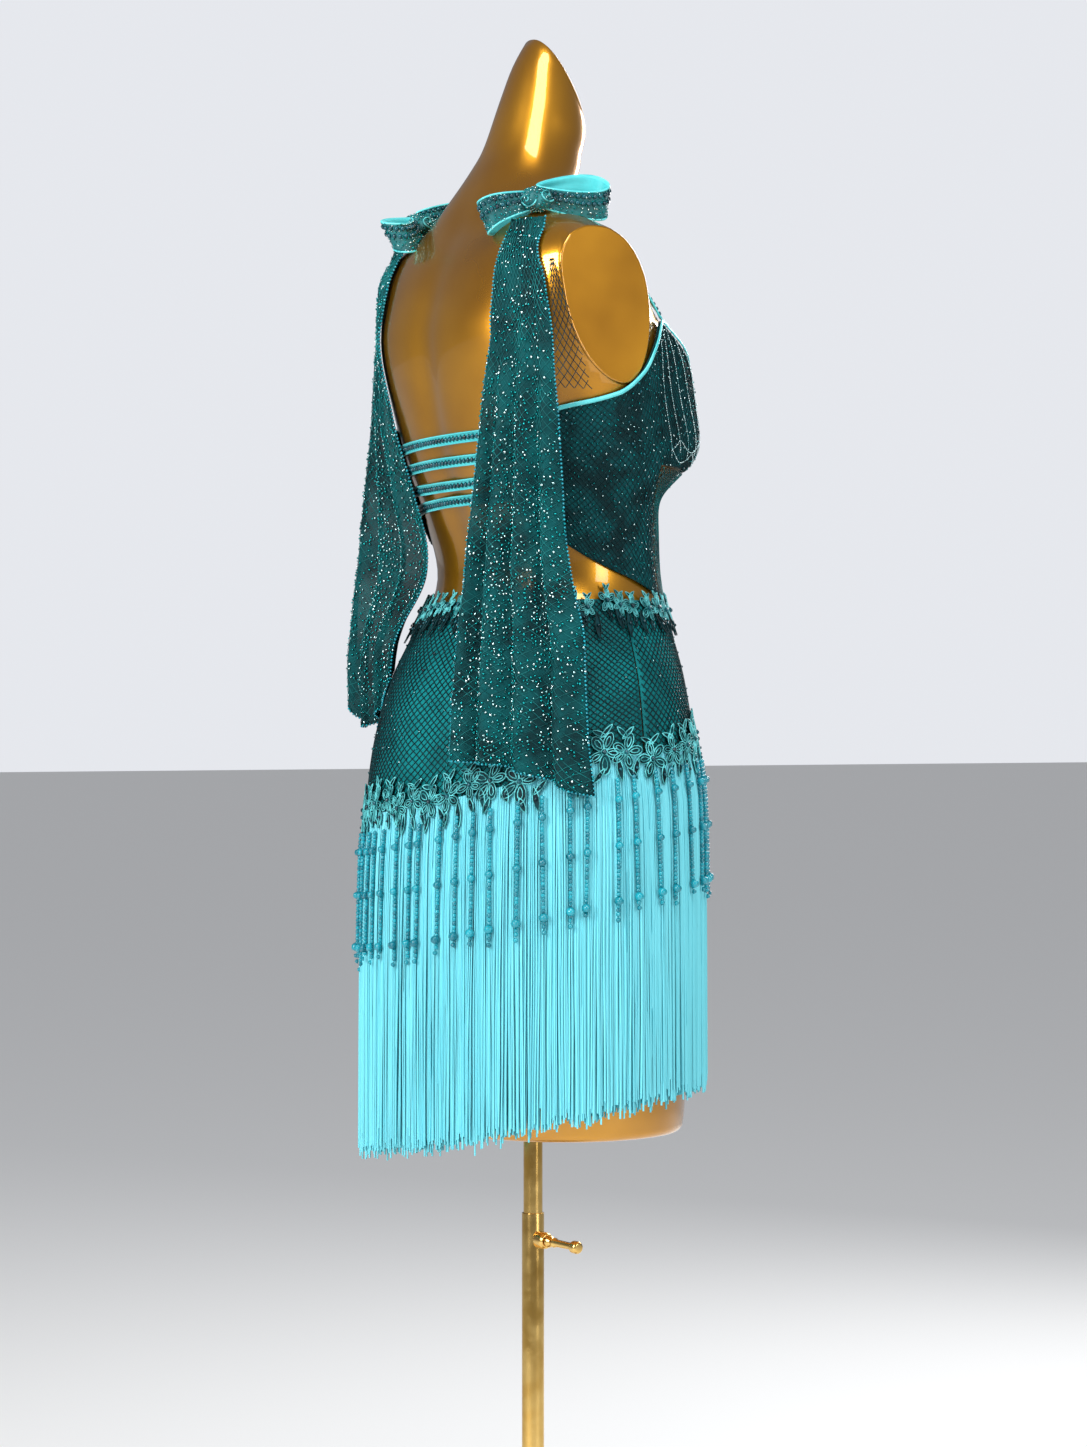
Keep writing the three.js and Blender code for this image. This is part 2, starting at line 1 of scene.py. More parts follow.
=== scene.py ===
# %% [markdown]
# # A fringed salsa dress on a dress form
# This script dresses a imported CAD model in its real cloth, thread, beads and paint. The CAD
# model holds the shapes that move and collide, and here each of its plain solids gets a
# finished piece that stands in the same place. Lengths are written in millimetres, as a
# dressmaker has them, and become metres when a mesh is made.

# %% Load the frame
import math

import bmesh
import bpy
import numpy as np
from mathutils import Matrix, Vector


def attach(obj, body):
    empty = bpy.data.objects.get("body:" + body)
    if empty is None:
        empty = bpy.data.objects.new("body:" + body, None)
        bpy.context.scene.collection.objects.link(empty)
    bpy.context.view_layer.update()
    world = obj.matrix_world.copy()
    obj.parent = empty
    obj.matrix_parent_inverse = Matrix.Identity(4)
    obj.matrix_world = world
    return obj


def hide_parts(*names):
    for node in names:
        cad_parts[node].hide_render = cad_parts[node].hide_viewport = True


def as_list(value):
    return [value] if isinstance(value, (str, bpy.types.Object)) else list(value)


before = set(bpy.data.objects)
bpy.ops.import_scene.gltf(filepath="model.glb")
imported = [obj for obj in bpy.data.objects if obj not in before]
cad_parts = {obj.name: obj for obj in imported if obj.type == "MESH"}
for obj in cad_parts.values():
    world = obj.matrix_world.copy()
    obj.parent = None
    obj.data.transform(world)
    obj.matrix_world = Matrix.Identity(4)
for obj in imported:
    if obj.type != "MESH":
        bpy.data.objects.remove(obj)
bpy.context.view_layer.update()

# %% [markdown]
# ## Camera
# The dress is seen from behind its right shoulder, level with the waist and from three
# metres, which keeps the upright lines of the fringe upright.

# %% Camera
VIEW_ANGLE = math.radians(235)
VIEW_DISTANCE = 3.0
VIEW_HEIGHT = 1.0
SIDE_STEP = 0.00945
FOCAL_LENGTH = 82.93

away = Vector((-math.sin(VIEW_ANGLE), math.cos(VIEW_ANGLE), 0))
rightward = Vector((away.y, -away.x, 0))
camera = bpy.data.objects.new("camera", bpy.data.cameras.new("camera"))
camera.data.lens = FOCAL_LENGTH
camera.location = -away * VIEW_DISTANCE + rightward * SIDE_STEP + Vector((0, 0, VIEW_HEIGHT))
camera.rotation_euler = away.to_track_quat("-Z", "Y").to_euler()
bpy.context.scene.collection.objects.link(camera)
bpy.context.scene.camera = camera
print("camera at", camera.location)

# %% [markdown]
# ## Floor and lights
# A pale floor and large soft lamps show a garment fairly. A tall soft box on
# the left models the figure, a weaker one on the right opens the shadows, and one overhead
# puts a clean edge on the shoulders. The room itself is dim, because a glossy gold paint
# mirrors it, and a bright room would wash the gold out.

# %% Floor
floor_mesh = bpy.data.meshes.new("floor")
REACH = 60.0
floor_mesh.from_pydata(
    [(-REACH, -REACH, 0), (REACH, -REACH, 0), (REACH, REACH, 0), (-REACH, REACH, 0)],
    [],
    [(0, 1, 2, 3)],
)
floor = bpy.data.objects.new("floor", floor_mesh)
bpy.context.scene.collection.objects.link(floor)
floor_paint = bpy.data.materials.new("pale_floor")
floor_paint.use_nodes = True
paint = floor_paint.node_tree.nodes["Principled BSDF"]
paint.inputs["Base Color"].default_value = (0.86, 0.86, 0.85, 1)
paint.inputs["Roughness"].default_value = 0.7
floor_mesh.materials.append(floor_paint)


# %% Lights
def soft_box(name, angle, distance, height, size, watts, aim=1.1):
    """A square lamp at an angle round the figure, from the camera's side, facing it."""
    lamp = bpy.data.lights.new(name, "AREA")
    lamp.shape = "RECTANGLE"
    lamp.size, lamp.size_y = size
    lamp.energy = watts
    turn = VIEW_ANGLE + math.radians(angle)
    place = Vector((math.sin(turn), -math.cos(turn), 0)) * distance
    place.z = height
    obj = bpy.data.objects.new(name, lamp)
    obj.location = place
    obj.rotation_euler = (Vector((0, 0, aim)) - place).to_track_quat("-Z", "Y").to_euler()
    bpy.context.scene.collection.objects.link(obj)
    return obj


soft_box("key", -42, 3.0, 2.1, (0.9, 1.8), 95)
soft_box("fill", 50, 3.2, 1.6, (1.0, 1.8), 34)
soft_box("top", 10, 1.6, 3.2, (1.2, 1.2), 40, aim=1.3)
soft_box("rim", 150, 2.8, 2.2, (0.8, 1.6), 45)

world = bpy.data.worlds.new("studio")
world.use_nodes = True
sky = world.node_tree.nodes["Background"]
path = world.node_tree.nodes.new("ShaderNodeLightPath")
mirrored = world.node_tree.nodes.new("ShaderNodeMix")
seen = world.node_tree.nodes.new("ShaderNodeMix")
ROOM_LIGHT, MIRRORED_LIGHT, BACKDROP = 0.5, 0.22, 0.85
sky.inputs["Color"].default_value = (0.93, 0.95, 1.0, 1)
mirrored.inputs[2].default_value, mirrored.inputs[3].default_value = ROOM_LIGHT, MIRRORED_LIGHT
seen.inputs[3].default_value = BACKDROP
world.node_tree.links.new(path.outputs["Is Glossy Ray"], mirrored.inputs[0])
world.node_tree.links.new(mirrored.outputs[0], seen.inputs[2])
world.node_tree.links.new(path.outputs["Is Camera Ray"], seen.inputs[0])
world.node_tree.links.new(seen.outputs[0], sky.inputs["Strength"])
bpy.context.scene.world = world
bpy.context.scene.view_settings.view_transform = "Standard"

# %% [markdown]
# ## The figure as a rule
# Every piece of the dress lies on the body, so the body comes first as a rule: a table of
# level sections, joined by smooth curves. A place on it is a turn round the figure (0 is the
# middle of the front, 90 the left side, 180 the back) and a height. The same table shaped
# the CAD solids, so what is made here fits them.

# %% Reading a table on a smooth curve
HEIGHT, HALF, MIDDLE, BACK, FRONT, TILT = range(6)
SECTIONS = np.array(
    [
        (640, 153, 0, 112, 116, 0),
        (700, 159, 0, 118, 118, 0),
        (780, 165, 0, 124, 120, 0),
        (860, 168, 0, 128, 121, 0),
        (930, 168, 0, 129, 121, 0),
        (985, 161, -2, 125, 117, 0),
        (1040, 147, -6, 114, 107, 0),
        (1085, 127, -10, 98, 97, 0),
        (1130, 112, -13, 85, 89, 0),
        (1180, 115, -7, 90, 91, 0),
        (1233, 127, 3, 98, 92, 0),
        (1290, 138, 10, 103, 88, 0),
        (1340, 151, 13, 105, 82, 0),
        (1375, 160, 18, 93, 77, 0),
        (1400, 165, 24, 79, 68, 0),
        (1418, 157, 28, 66, 58, 0),
        (1432, 134, 31, 54, 49, 0),
        (1443, 102, 32, 48, 46, 0),
        (1456, 81, 30, 46, 45, 0),
        (1468, 68, 25, 46, 45, 0),
        (1480, 57, 18, 47, 46, 0),
        (1492, 50, 10, 46, 45, 4),
        (1506, 45, 3, 43, 43, 9),
        (1522, 41, -4, 43, 40, 18),
        (1540, 38, -12, 46, 40, 34),
        (1556, 34, -19, 51, 43, 48),
        (1568, 30, -24, 54, 47, 60),
    ],
    float,
)
ROUNDNESS = 2.2
ARM_CUT, ARM_LOW = 142, 1240
BUST = {"x": 62, "z": 1278, "wide": 46, "above": 88, "below": 62, "depth": 47, "power": 4}
SHOULDER_BLADE = {"x": 66, "z": 1345, "wide": 40, "above": 50, "below": 60, "depth": 4, "power": 2}
SPINE = {"x": 0, "z": 1280, "wide": 17, "above": 120, "below": 150, "depth": -5, "power": 2}


def through(keys, values, at):
    """The value at `at` on the smooth curve through a table's points."""
    keys, values, at = (np.asarray(a, float) for a in (keys, values, at))
    last = len(keys) - 1
    here = np.clip(np.searchsorted(keys, at) - 1, 0, last - 1)
    before = np.maximum(np.arange(last + 1) - 1, 0)
    after = np.minimum(np.arange(last + 1) + 1, last)
    slope = (values[after] - values[before]) / (keys[after] - keys[before])
    step = keys[here + 1] - keys[here]
    t = np.clip((at - keys[here]) / step, 0, 1)
    return (
        (2 * t**3 - 3 * t**2 + 1) * values[here]
        + (t**3 - 2 * t**2 + t) * step * slope[here]
        + (3 * t**2 - 2 * t**3) * values[here + 1]
        + (t**3 - t**2) * step * slope[here + 1]
    )


def ease(t):
    """0 below 0, 1 above 1, and a smooth step between them."""
    t = np.clip(t, 0, 1)
    return t * t * (3 - 2 * t)


# %% The body's surface
def swelling(shape, x, z):
    """How much a soft swelling adds at a place on the figure."""
    high = np.abs(z - shape["z"]) / np.where(z > shape["z"], shape["above"], shape["below"])
    across = (np.abs(x) - shape["x"]) / shape["wide"]
    return shape["depth"] * np.exp(-(across**2) - high ** shape["power"])


def figure(turn, z, arms_cut=True):
    """Points of the form's surface, in mm, at turns in degrees and heights of sections."""
    turn, z = np.broadcast_arrays(np.asarray(turn, float), np.asarray(z, float))
    s, c = np.sin(np.radians(turn)), np.cos(np.radians(turn))
    half, middle, back, front, tilt = (
        through(SECTIONS[:, HEIGHT], SECTIONS[:, k], z) for k in (HALF, MIDDLE, BACK, FRONT, TILT)
    )
    x = half * np.sign(s) * np.abs(s) ** (2 / ROUNDNESS)
    deep = -np.where(c > 0, front, back) * np.sign(c) * np.abs(c) ** (2 / ROUNDNESS)
    forward = ease((c + 0.2) / 0.5)
    behind = swelling(SHOULDER_BLADE, x, z) + swelling(SPINE, x, z)
    extra = forward * swelling(BUST, x, z) + (1 - forward) * behind
    x = x + extra * s
    if arms_cut:
        x = np.where(z > ARM_LOW, np.clip(x, -ARM_CUT, ARM_CUT), x)
    deep = deep - extra * c
    tilt = np.radians(tilt)
    return np.stack([x, middle + deep * np.cos(tilt), z + deep * np.sin(tilt)], -1)


def off(turn, z, lift):
    """Points that stand off the form by `lift`, square to its surface."""
    turn, z, lift = np.broadcast_arrays(*(np.asarray(a, float) for a in (turn, z, lift)))
    around = figure(turn + 1, z) - figure(turn - 1, z)
    up = figure(turn, z + 2) - figure(turn, z - 2)
    normal = np.cross(around, up)
    normal /= np.linalg.norm(normal, axis=-1, keepdims=True)
    return figure(turn, z) + normal * lift[..., None]


def turn_at(x, z, side):
    """The turn at which the section at height z has this x, on the front or on the back."""
    share = np.minimum(np.abs(x) / through(SECTIONS[:, HEIGHT], SECTIONS[:, HALF], z), 1)
    angle = np.degrees(np.arcsin(share ** (ROUNDNESS / 2)))
    return np.sign(x) * (angle if side == "front" else 180 - angle)


waist_ring = figure(np.arange(0, 360, 2), 1130)
waist_round = np.linalg.norm(waist_ring - np.roll(waist_ring, 1, axis=0), axis=1).sum()
print("waist is", round(waist_round / 10, 1), "cm round")

# %% [markdown]
# ## Making meshes
# Three makers serve nearly every piece: a grid of points for cloth, a list of polylines for
# threads and cords, and a turned outline for the stand. Points come in millimetres, and each
# finished object sits at the origin with its place in its mesh.

# %% Makers
MM = 0.001


def mesh_object(name, points, edges=(), faces=(), finish=None, smooth=True):
    """An object from points in mm, linked into the scene."""
    mesh = bpy.data.meshes.new(name)
    mesh.from_pydata(np.asarray(points, float) * MM, list(edges), list(faces))
    if smooth:
        mesh.shade_smooth()
    if finish:
        mesh.materials.append(finish)
    obj = bpy.data.objects.new(name, mesh)
    bpy.context.scene.collection.objects.link(obj)
    return obj


def cloth(name, place, columns, rows, size, finish, looped=False, centre=(0, 0)):
    """A piece of cloth facing away from `centre`: place(u, v) are its points, in mm.
    size is its width and length in mm, which its UV map holds in metres."""
    u, v = np.meshgrid(np.linspace(0, 1, columns + 1), np.linspace(0, 1, rows + 1))
    if looped:
        u, v = u[:, :-1], v[:, :-1]
    points = place(u.ravel(), v.ravel())
    across = u.shape[1]
    i, j = (a.ravel() for a in np.meshgrid(np.arange(rows), np.arange(columns), indexing="ij"))
    corners = np.stack([i, j, i, j + 1, i + 1, j + 1, i + 1, j], -1).reshape(-1, 4, 2)
    faces = corners[..., 0] * across + corners[..., 1] % across
    a, b, c = (points[faces[:, k]] for k in (0, 1, 3))
    outward = np.cross(b - a, c - a)
    from_centre = (a - np.array([*centre, 0])) * (1, 1, 0)
    if (outward * from_centre).sum() < 0:
        faces, corners = faces[:, ::-1], corners[:, ::-1]
    obj = mesh_object(name, points, faces=faces.tolist(), finish=finish)
    uv = corners[..., ::-1] / (columns, rows) * np.array(size) * MM
    obj.data.uv_layers.new(name="cloth").data.foreach_set("uv", uv.ravel())
    return obj


def lines_object(name, lines, closed=False, **marks):
    """An object of polylines in mm. Each mark is one number for each line, kept on its points."""
    edges, start = [], 0
    for line in lines:
        ends = start + np.arange(len(line) - (0 if closed else 1))
        edges.append(np.stack([ends, start + (ends - start + 1) % len(line)], -1))
        start += len(line)
    obj = mesh_object(name, np.concatenate(lines), edges=np.concatenate(edges).tolist())
    for mark, values in marks.items():
        spread = np.repeat(np.asarray(values, np.float32), [len(line) for line in lines])
        obj.data.attributes.new(mark, "FLOAT", "POINT").data.foreach_set("value", spread)
    return obj


def thicken(obj, thickness):
    """Gives a sheet its thickness in mm, evenly on both sides."""
    wall = obj.modifiers.new("thickness", "SOLIDIFY")
    wall.thickness = thickness * MM
    wall.offset = 0
    return obj


def wear(obj, slot, *nodes):
    """The piece turns with the figure and stands for CAD nodes, which it hides. Its slot is not used."""
    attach(obj, "figure")
    if nodes:
        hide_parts(*nodes)
    return obj


# %% [markdown]
# ## Node trees for what repeats
# Threads, beads and stones repeat by the thousand. Each kind is a Geometry Nodes tree with
# named inputs, run once and then baked to a plain mesh. One tree gives polylines a round
# section, one strings beads along them, one sets stones at given points, and one scatters
# stones over a cloth where a mark on it says they are dense.

# %% Building and running a tree
def node_tree(name, *inputs):
    """A tree with a geometry in and out and named inputs, and a function that adds nodes."""
    tree = bpy.data.node_groups.new(name, "GeometryNodeTree")
    tree.interface.new_socket("Geometry", in_out="INPUT", socket_type="NodeSocketGeometry")
    tree.interface.new_socket("Geometry", in_out="OUTPUT", socket_type="NodeSocketGeometry")
    for label, kind in inputs:
        tree.interface.new_socket(label, in_out="INPUT", socket_type=f"NodeSocket{kind}")
    source = tree.nodes.new("NodeGroupInput").outputs

    def add(kind, settings=None, **sockets):
        node = tree.nodes.new(kind)
        for key, value in (settings or {}).items():
            setattr(node, key, value)
        for label, value in sockets.items():
            socket = node.inputs[label.replace("_", " ")]
            if isinstance(value, bpy.types.NodeSocket):
                tree.links.new(value, socket)
            else:
                socket.default_value = value
        return node.outputs

    def close(geometry):
        real = add("GeometryNodeRealizeInstances", Geometry=geometry)[0]
        painted = add("GeometryNodeSetMaterial", Geometry=real, Material=source["Finish"])[0]
        tree.links.new(painted, tree.nodes.new("NodeGroupOutput").inputs[0])
        return tree

    return source, add, close


def grow(obj, tree, **values):
    """Runs a tree on an object once, and leaves the result as the object's plain mesh."""
    modifier = obj.modifiers.new(tree.name, "NODES")
    modifier.node_group = tree
    for item in tree.interface.items_tree:
        if item.in_out == "INPUT" and item.name.replace(" ", "_") in values:
            modifier[item.identifier] = values[item.name.replace(" ", "_")]
    view = bpy.context.evaluated_depsgraph_get()
    grown = bpy.data.meshes.new_from_object(obj.evaluated_get(view))
    obj.modifiers.remove(modifier)
    bare, obj.data = obj.data, grown
    bpy.data.meshes.remove(bare)
    grown.name = obj.name
    grown.shade_smooth()
    print(obj.name, "has", sum(len(p.vertices) - 2 for p in grown.polygons), "triangles")
    return obj


# %% Threads: a round section along every polyline
source, add, close = node_tree(
    "threads", ("Radius", "Float"), ("Sides", "Int"), ("Finish", "Material")
)
line = add("GeometryNodeMeshToCurve", Mesh=source["Geometry"])[0]
ring = add("GeometryNodeCurvePrimitiveCircle", Resolution=source["Sides"], Radius=source["Radius"])
THREADS = close(add("GeometryNodeCurveToMesh", Curve=line, Profile_Curve=ring[0], Fill_Caps=True)[0])

# %% Beads: strung along every polyline at an even distance
source, add, close = node_tree(
    "beads", ("Spacing", "Float"), ("Radius", "Float"), ("Stretch", "Vector"),
    ("Seed", "Int"), ("Finish", "Material"),
)
line = add("GeometryNodeMeshToCurve", Mesh=source["Geometry"])[0]
even = add(
    "GeometryNodeCurveToPoints", {"mode": "LENGTH"}, Curve=line, Length=source["Spacing"]
)
bead = add("GeometryNodeMeshIcoSphere", Radius=source["Radius"], Subdivisions=1)[0]
strung = add(
    "GeometryNodeInstanceOnPoints", Points=even[0], Instance=bead,
    Rotation=even["Rotation"], Scale=source["Stretch"],
)[0]
glint = add("FunctionNodeRandomValue", Seed=source["Seed"])
BEADS = close(
    add(
        "GeometryNodeStoreNamedAttribute", {"domain": "INSTANCE"},
        Geometry=strung, Name="glint", Value=glint[1],
    )[0]
)

# %% Stones: one at each point, turned to face along the point's mark
source, add, close = node_tree(
    "stones", ("Radius", "Float"), ("Height", "Float"), ("Crown", "Float"), ("Sides", "Int"),
    ("Seed", "Int"), ("Finish", "Material"),
)
facing = add("GeometryNodeInputNamedAttribute", {"data_type": "FLOAT_VECTOR"}, Name="facing")[0]
size = add("GeometryNodeInputNamedAttribute", {"data_type": "FLOAT"}, Name="size")[0]
turned = add("FunctionNodeAlignRotationToVector", {"axis": "Z"}, Vector=facing)[0]
stone = add(
    "GeometryNodeMeshCone", {"fill_type": "NGON"}, Vertices=source["Sides"],
    Radius_Bottom=source["Radius"], Radius_Top=source["Crown"], Depth=source["Height"],
)[0]
points = add("GeometryNodeMeshToPoints", Mesh=source["Geometry"])[0]
set_in = add(
    "GeometryNodeInstanceOnPoints", Points=points, Instance=stone, Rotation=turned, Scale=size
)[0]
glint = add("FunctionNodeRandomValue", Seed=source["Seed"])
STONES = close(
    add(
        "GeometryNodeStoreNamedAttribute", {"domain": "INSTANCE"},
        Geometry=set_in, Name="glint", Value=glint[1],
    )[0]
)

# %% Sequins: scattered over a cloth where its mark `dense` is high
source, add, close = node_tree(
    "sequins", ("Radius", "Float"), ("Height", "Float"), ("Crown", "Float"), ("Gap", "Float"),
    ("Density", "Float"), ("Tilt", "Float"), ("Lift", "Float"), ("Seed", "Int"),
    ("Finish", "Material"),
)
dense = add("GeometryNodeInputNamedAttribute", {"data_type": "FLOAT"}, Name="dense")[0]
spots = add(
    "GeometryNodeDistributePointsOnFaces", {"distribute_method": "POISSON"},
    Mesh=source["Geometry"], Distance_Min=source["Gap"], Density_Max=source["Density"],
    Density_Factor=dense, Seed=source["Seed"],
)
stone = add(
    "GeometryNodeMeshCone", {"fill_type": "NGON"}, Vertices=6,
    Radius_Bottom=source["Radius"], Radius_Top=source["Crown"], Depth=source["Height"],
)[0]
lean_most = add("ShaderNodeCombineXYZ", X=source["Tilt"], Y=source["Tilt"])[0]
lean_least = add("ShaderNodeVectorMath", {"operation": "SCALE"}, Vector=lean_most, Scale=-1.0)[0]
lean = add(
    "FunctionNodeRandomValue", {"data_type": "FLOAT_VECTOR"},
    Min=lean_least, Max=lean_most, Seed=source["Seed"],
)[0]
size = add("FunctionNodeRandomValue", Seed=source["Seed"])
sized = add("ShaderNodeMapRange", Value=size[1], To_Min=0.7, To_Max=1.15)[0]
raised = add(
    "ShaderNodeVectorMath", {"operation": "SCALE"}, Vector=spots["Normal"], Scale=source["Lift"]
)[0]
lifted = add("GeometryNodeSetPosition", Geometry=spots["Points"], Offset=raised)[0]
placed = add(
    "GeometryNodeInstanceOnPoints", Points=lifted, Instance=stone,
    Rotation=spots["Rotation"], Scale=sized,
)[0]
leaning = add("GeometryNodeRotateInstances", Instances=placed, Rotation=lean)[0]
glint = add("FunctionNodeRandomValue", Seed=source["Seed"], ID=add("GeometryNodeInputIndex")[0])
SEQUINS = close(
    add(
        "GeometryNodeStoreNamedAttribute", {"domain": "INSTANCE"},
        Geometry=leaning, Name="glint", Value=glint[1],
    )[0]
)
print("trees:", [t.name for t in bpy.data.node_groups])

# %% [markdown]
# ## Shared effects
# Two effects come back in many finishes, so each is a node group built once. One clouds a
# colour softly between a dark and a light shade, as dye and paint do, and on the lace cord its light
# shade is a painted highlight. The other is the height of a plain weave, read from the cloth's own UV
# map so that it follows every fold.

# %% Group: clouded colour
def shader_group(name, inputs, outputs):
    """A shader node group with named sockets, and a function that adds nodes to it."""
    group = bpy.data.node_groups.new(name, "ShaderNodeTree")
    for direction, sockets in (("INPUT", inputs), ("OUTPUT", outputs)):
        for label, kind in sockets:
            group.interface.new_socket(label, in_out=direction, socket_type=f"NodeSocket{kind}")
    source = group.nodes.new("NodeGroupInput").outputs
    result = group.nodes.new("NodeGroupOutput").inputs
    return group, source, result, adder(group)


def adder(tree):
    """A function that adds a node to a shader tree, with its settings and sockets."""

    def add(kind, settings=None, **sockets):
        node = tree.nodes.new(kind)
        for key, value in (settings or {}).items():
            setattr(node, key, value)
        for label, value in sockets.items():
            key = int(label[2:]) if label.startswith("n_") else label.replace("_", " ")
            if isinstance(value, bpy.types.NodeSocket):
                tree.links.new(value, node.inputs[key])
            else:
                node.inputs[key].default_value = value
        return node.outputs

    return add


CLOUDED, source, result, add = shader_group(
    "clouded_colour",
    [("Dark", "Color"), ("Light", "Color"), ("Scale", "Float")],
    [("Colour", "Color"), ("Cloud", "Float")],
)
place = add("ShaderNodeTexCoord")["Object"]
cloud = add("ShaderNodeTexNoise", Vector=place, Scale=source["Scale"], Detail=3.0)["Fac"]
spread = add("ShaderNodeMapRange", Value=cloud, From_Min=0.38, From_Max=0.62)[0]
mixed = add("ShaderNodeMix", {"data_type": "RGBA"}, n_0=spread, n_6=source["Dark"], n_7=source["Light"])
CLOUDED.links.new(mixed[2], result["Colour"])
CLOUDED.links.new(spread, result["Cloud"])

# %% Group: plain weave
WEAVE, source, result, add = shader_group(
    "plain_weave", [("Threads", "Float")], [("Height", "Float")]
)
place = add("ShaderNodeUVMap", {"uv_map": "cloth"})["UV"]
split = add("ShaderNodeSeparateXYZ", Vector=place)
waves = []
for axis in (0, 1):
    phase = add("ShaderNodeMath", {"operation": "MULTIPLY"}, n_0=split[axis], n_1=source["Threads"])[0]
    waves.append(add("ShaderNodeMath", {"operation": "SINE"}, n_0=phase)[0])
height = add("ShaderNodeMath", {"operation": "MULTIPLY"}, n_0=waves[0], n_1=waves[1])[0]
WEAVE.links.new(height, result["Height"])
print("groups:", CLOUDED.name, WEAVE.name)


# %% [markdown]
# ## Finishes
# The form is sprayed with gold paint under a clear coat: the paint scatters softly and the
# coat mirrors sharply. The stand is polished brass. The dress is dyed to one turquoise, but
# each stuff shows it differently: net drinks light, satin glows along its folds, rayon
# fringe is bright and silky, and glass beads sparkle.

# %% Making a finish
def finish(name, dark, light, scale, rough, metal=0.0, **fixed):
    """A material with a clouded colour. fixed are numbers set on the shader's own sockets."""
    material = bpy.data.materials.new(name)
    material.use_nodes = True
    tree = material.node_tree
    shader = tree.nodes["Principled BSDF"]
    add = adder(tree)
    cloud = tree.nodes.new("ShaderNodeGroup")
    cloud.node_tree = CLOUDED
    cloud.inputs["Dark"].default_value = (*dark, 1)
    cloud.inputs["Light"].default_value = (*light, 1)
    cloud.inputs["Scale"].default_value = scale
    tree.links.new(cloud.outputs["Colour"], shader.inputs["Base Color"])
    shader.inputs["Metallic"].default_value = metal
    low, high = rough
    roughness = add(
        "ShaderNodeMapRange", Value=cloud.outputs["Cloud"], To_Min=low, To_Max=high
    )[0]
    tree.links.new(roughness, shader.inputs["Roughness"])
    for label, value in fixed.items():
        shader.inputs[label.replace("_", " ")].default_value = value
    return material, shader, add, cloud


def bump(material, shader, add, height, strength, distance):
    """Lets a height raise the surface, by at most distance in metres."""
    node = add("ShaderNodeBump", Height=height, Strength=strength, Distance=distance)
    material.node_tree.links.new(node[0], shader.inputs["Normal"])


# %% Gold paint and brass
gold_paint, shader, add, cloud = finish(
    "gold_paint", (0.43, 0.18, 0.006), (0.55, 0.25, 0.011), 7.0, (0.27, 0.34), 0.85,
    Coat_Weight=1.0, Coat_Roughness=0.04, Coat_IOR=1.5,
)
place = add("ShaderNodeTexCoord")["Object"]
flake = add("ShaderNodeTexNoise", Vector=place, Scale=1400.0, Detail=1.0)["Fac"]
bump(gold_paint, shader, add, flake, 0.12, 0.0002)

brass, shader, add, cloud = finish(
    "polished_brass", (0.62, 0.37, 0.09), (0.78, 0.52, 0.17), 40.0, (0.13, 0.24), 1.0
)
place = add("ShaderNodeTexCoord")["Object"]
along = add("ShaderNodeMapping", Vector=place, Scale=(900, 900, 14))[0]
draw_marks = add("ShaderNodeTexNoise", Vector=along, Scale=1.0, Detail=2.0)["Fac"]
bump(brass, shader, add, draw_marks, 0.15, 0.0002)


# %% Cloths with a woven height
def woven(name, dark, light, scale, rough, threads, strength, **fixed):
    """A cloth finish whose weave is read from the cloth's UV map."""
    material, shader, add, cloud = finish(name, dark, light, scale, rough, **fixed)
    weave = material.node_tree.nodes.new("ShaderNodeGroup")
    weave.node_tree = WEAVE
    weave.inputs["Threads"].default_value = threads * math.pi
    bump(material, shader, add, weave.outputs["Height"], strength, 0.0003)
    return material, shader, add, cloud


satin = woven(
    "turquoise_satin", (0.05, 0.50, 0.53), (0.09, 0.62, 0.65), 30.0, (0.34, 0.44), 1800, 0.25,
    Sheen_Weight=0.15, Sheen_Roughness=0.4,
)[0]
lining = woven(
    "teal_lining", (0.002, 0.11, 0.118), (0.004, 0.19, 0.20), 22.0, (0.55, 0.7), 1400, 0.4,
    Specular_IOR_Level=0.1,
)[0]
dark_lining = woven(
    "dark_lining", (0.001, 0.02, 0.023), (0.002, 0.07, 0.077), 40.0, (0.5, 0.65), 1400, 0.4,
    Specular_IOR_Level=0.1,
)[0]
ribbon_net = woven(
    "ribbon_net", (0.002, 0.07, 0.075), (0.006, 0.17, 0.18), 60.0, (0.4, 0.55), 1400, 0.4,
)[0]
lace_ground = woven(
    "lace_ground", (0.001, 0.012, 0.016), (0.002, 0.05, 0.06), 90.0, (0.6, 0.75), 2200, 0.5,
    Specular_IOR_Level=0.15,
)[0]


# %% Sheer net: the cloth between the threads lets the body show through
def sheer(name, dark, light, least, most):
    """A thin cloth that is more see-through in some places than in others."""
    material, shader, add, cloud = woven(
        name, dark, light, 30.0, (0.5, 0.65), 1600, 0.3, Specular_IOR_Level=0.1
    )
    place = add("ShaderNodeTexCoord")["Object"]
    patch = add("ShaderNodeTexNoise", Vector=place, Scale=18.0, Detail=2.0)["Fac"]
    alpha = add(
        "ShaderNodeMapRange", Value=patch, From_Min=0.35, From_Max=0.65, To_Min=least, To_Max=most
    )[0]
    material.node_tree.links.new(alpha, shader.inputs["Alpha"])
    return material


sheer_drape = sheer("sheer_drape", (0.001, 0.022, 0.025), (0.002, 0.075, 0.08), 0.8, 0.98)
sheer_front = sheer("sheer_front", (0.001, 0.02, 0.022), (0.002, 0.05, 0.05), 0.25, 0.45)

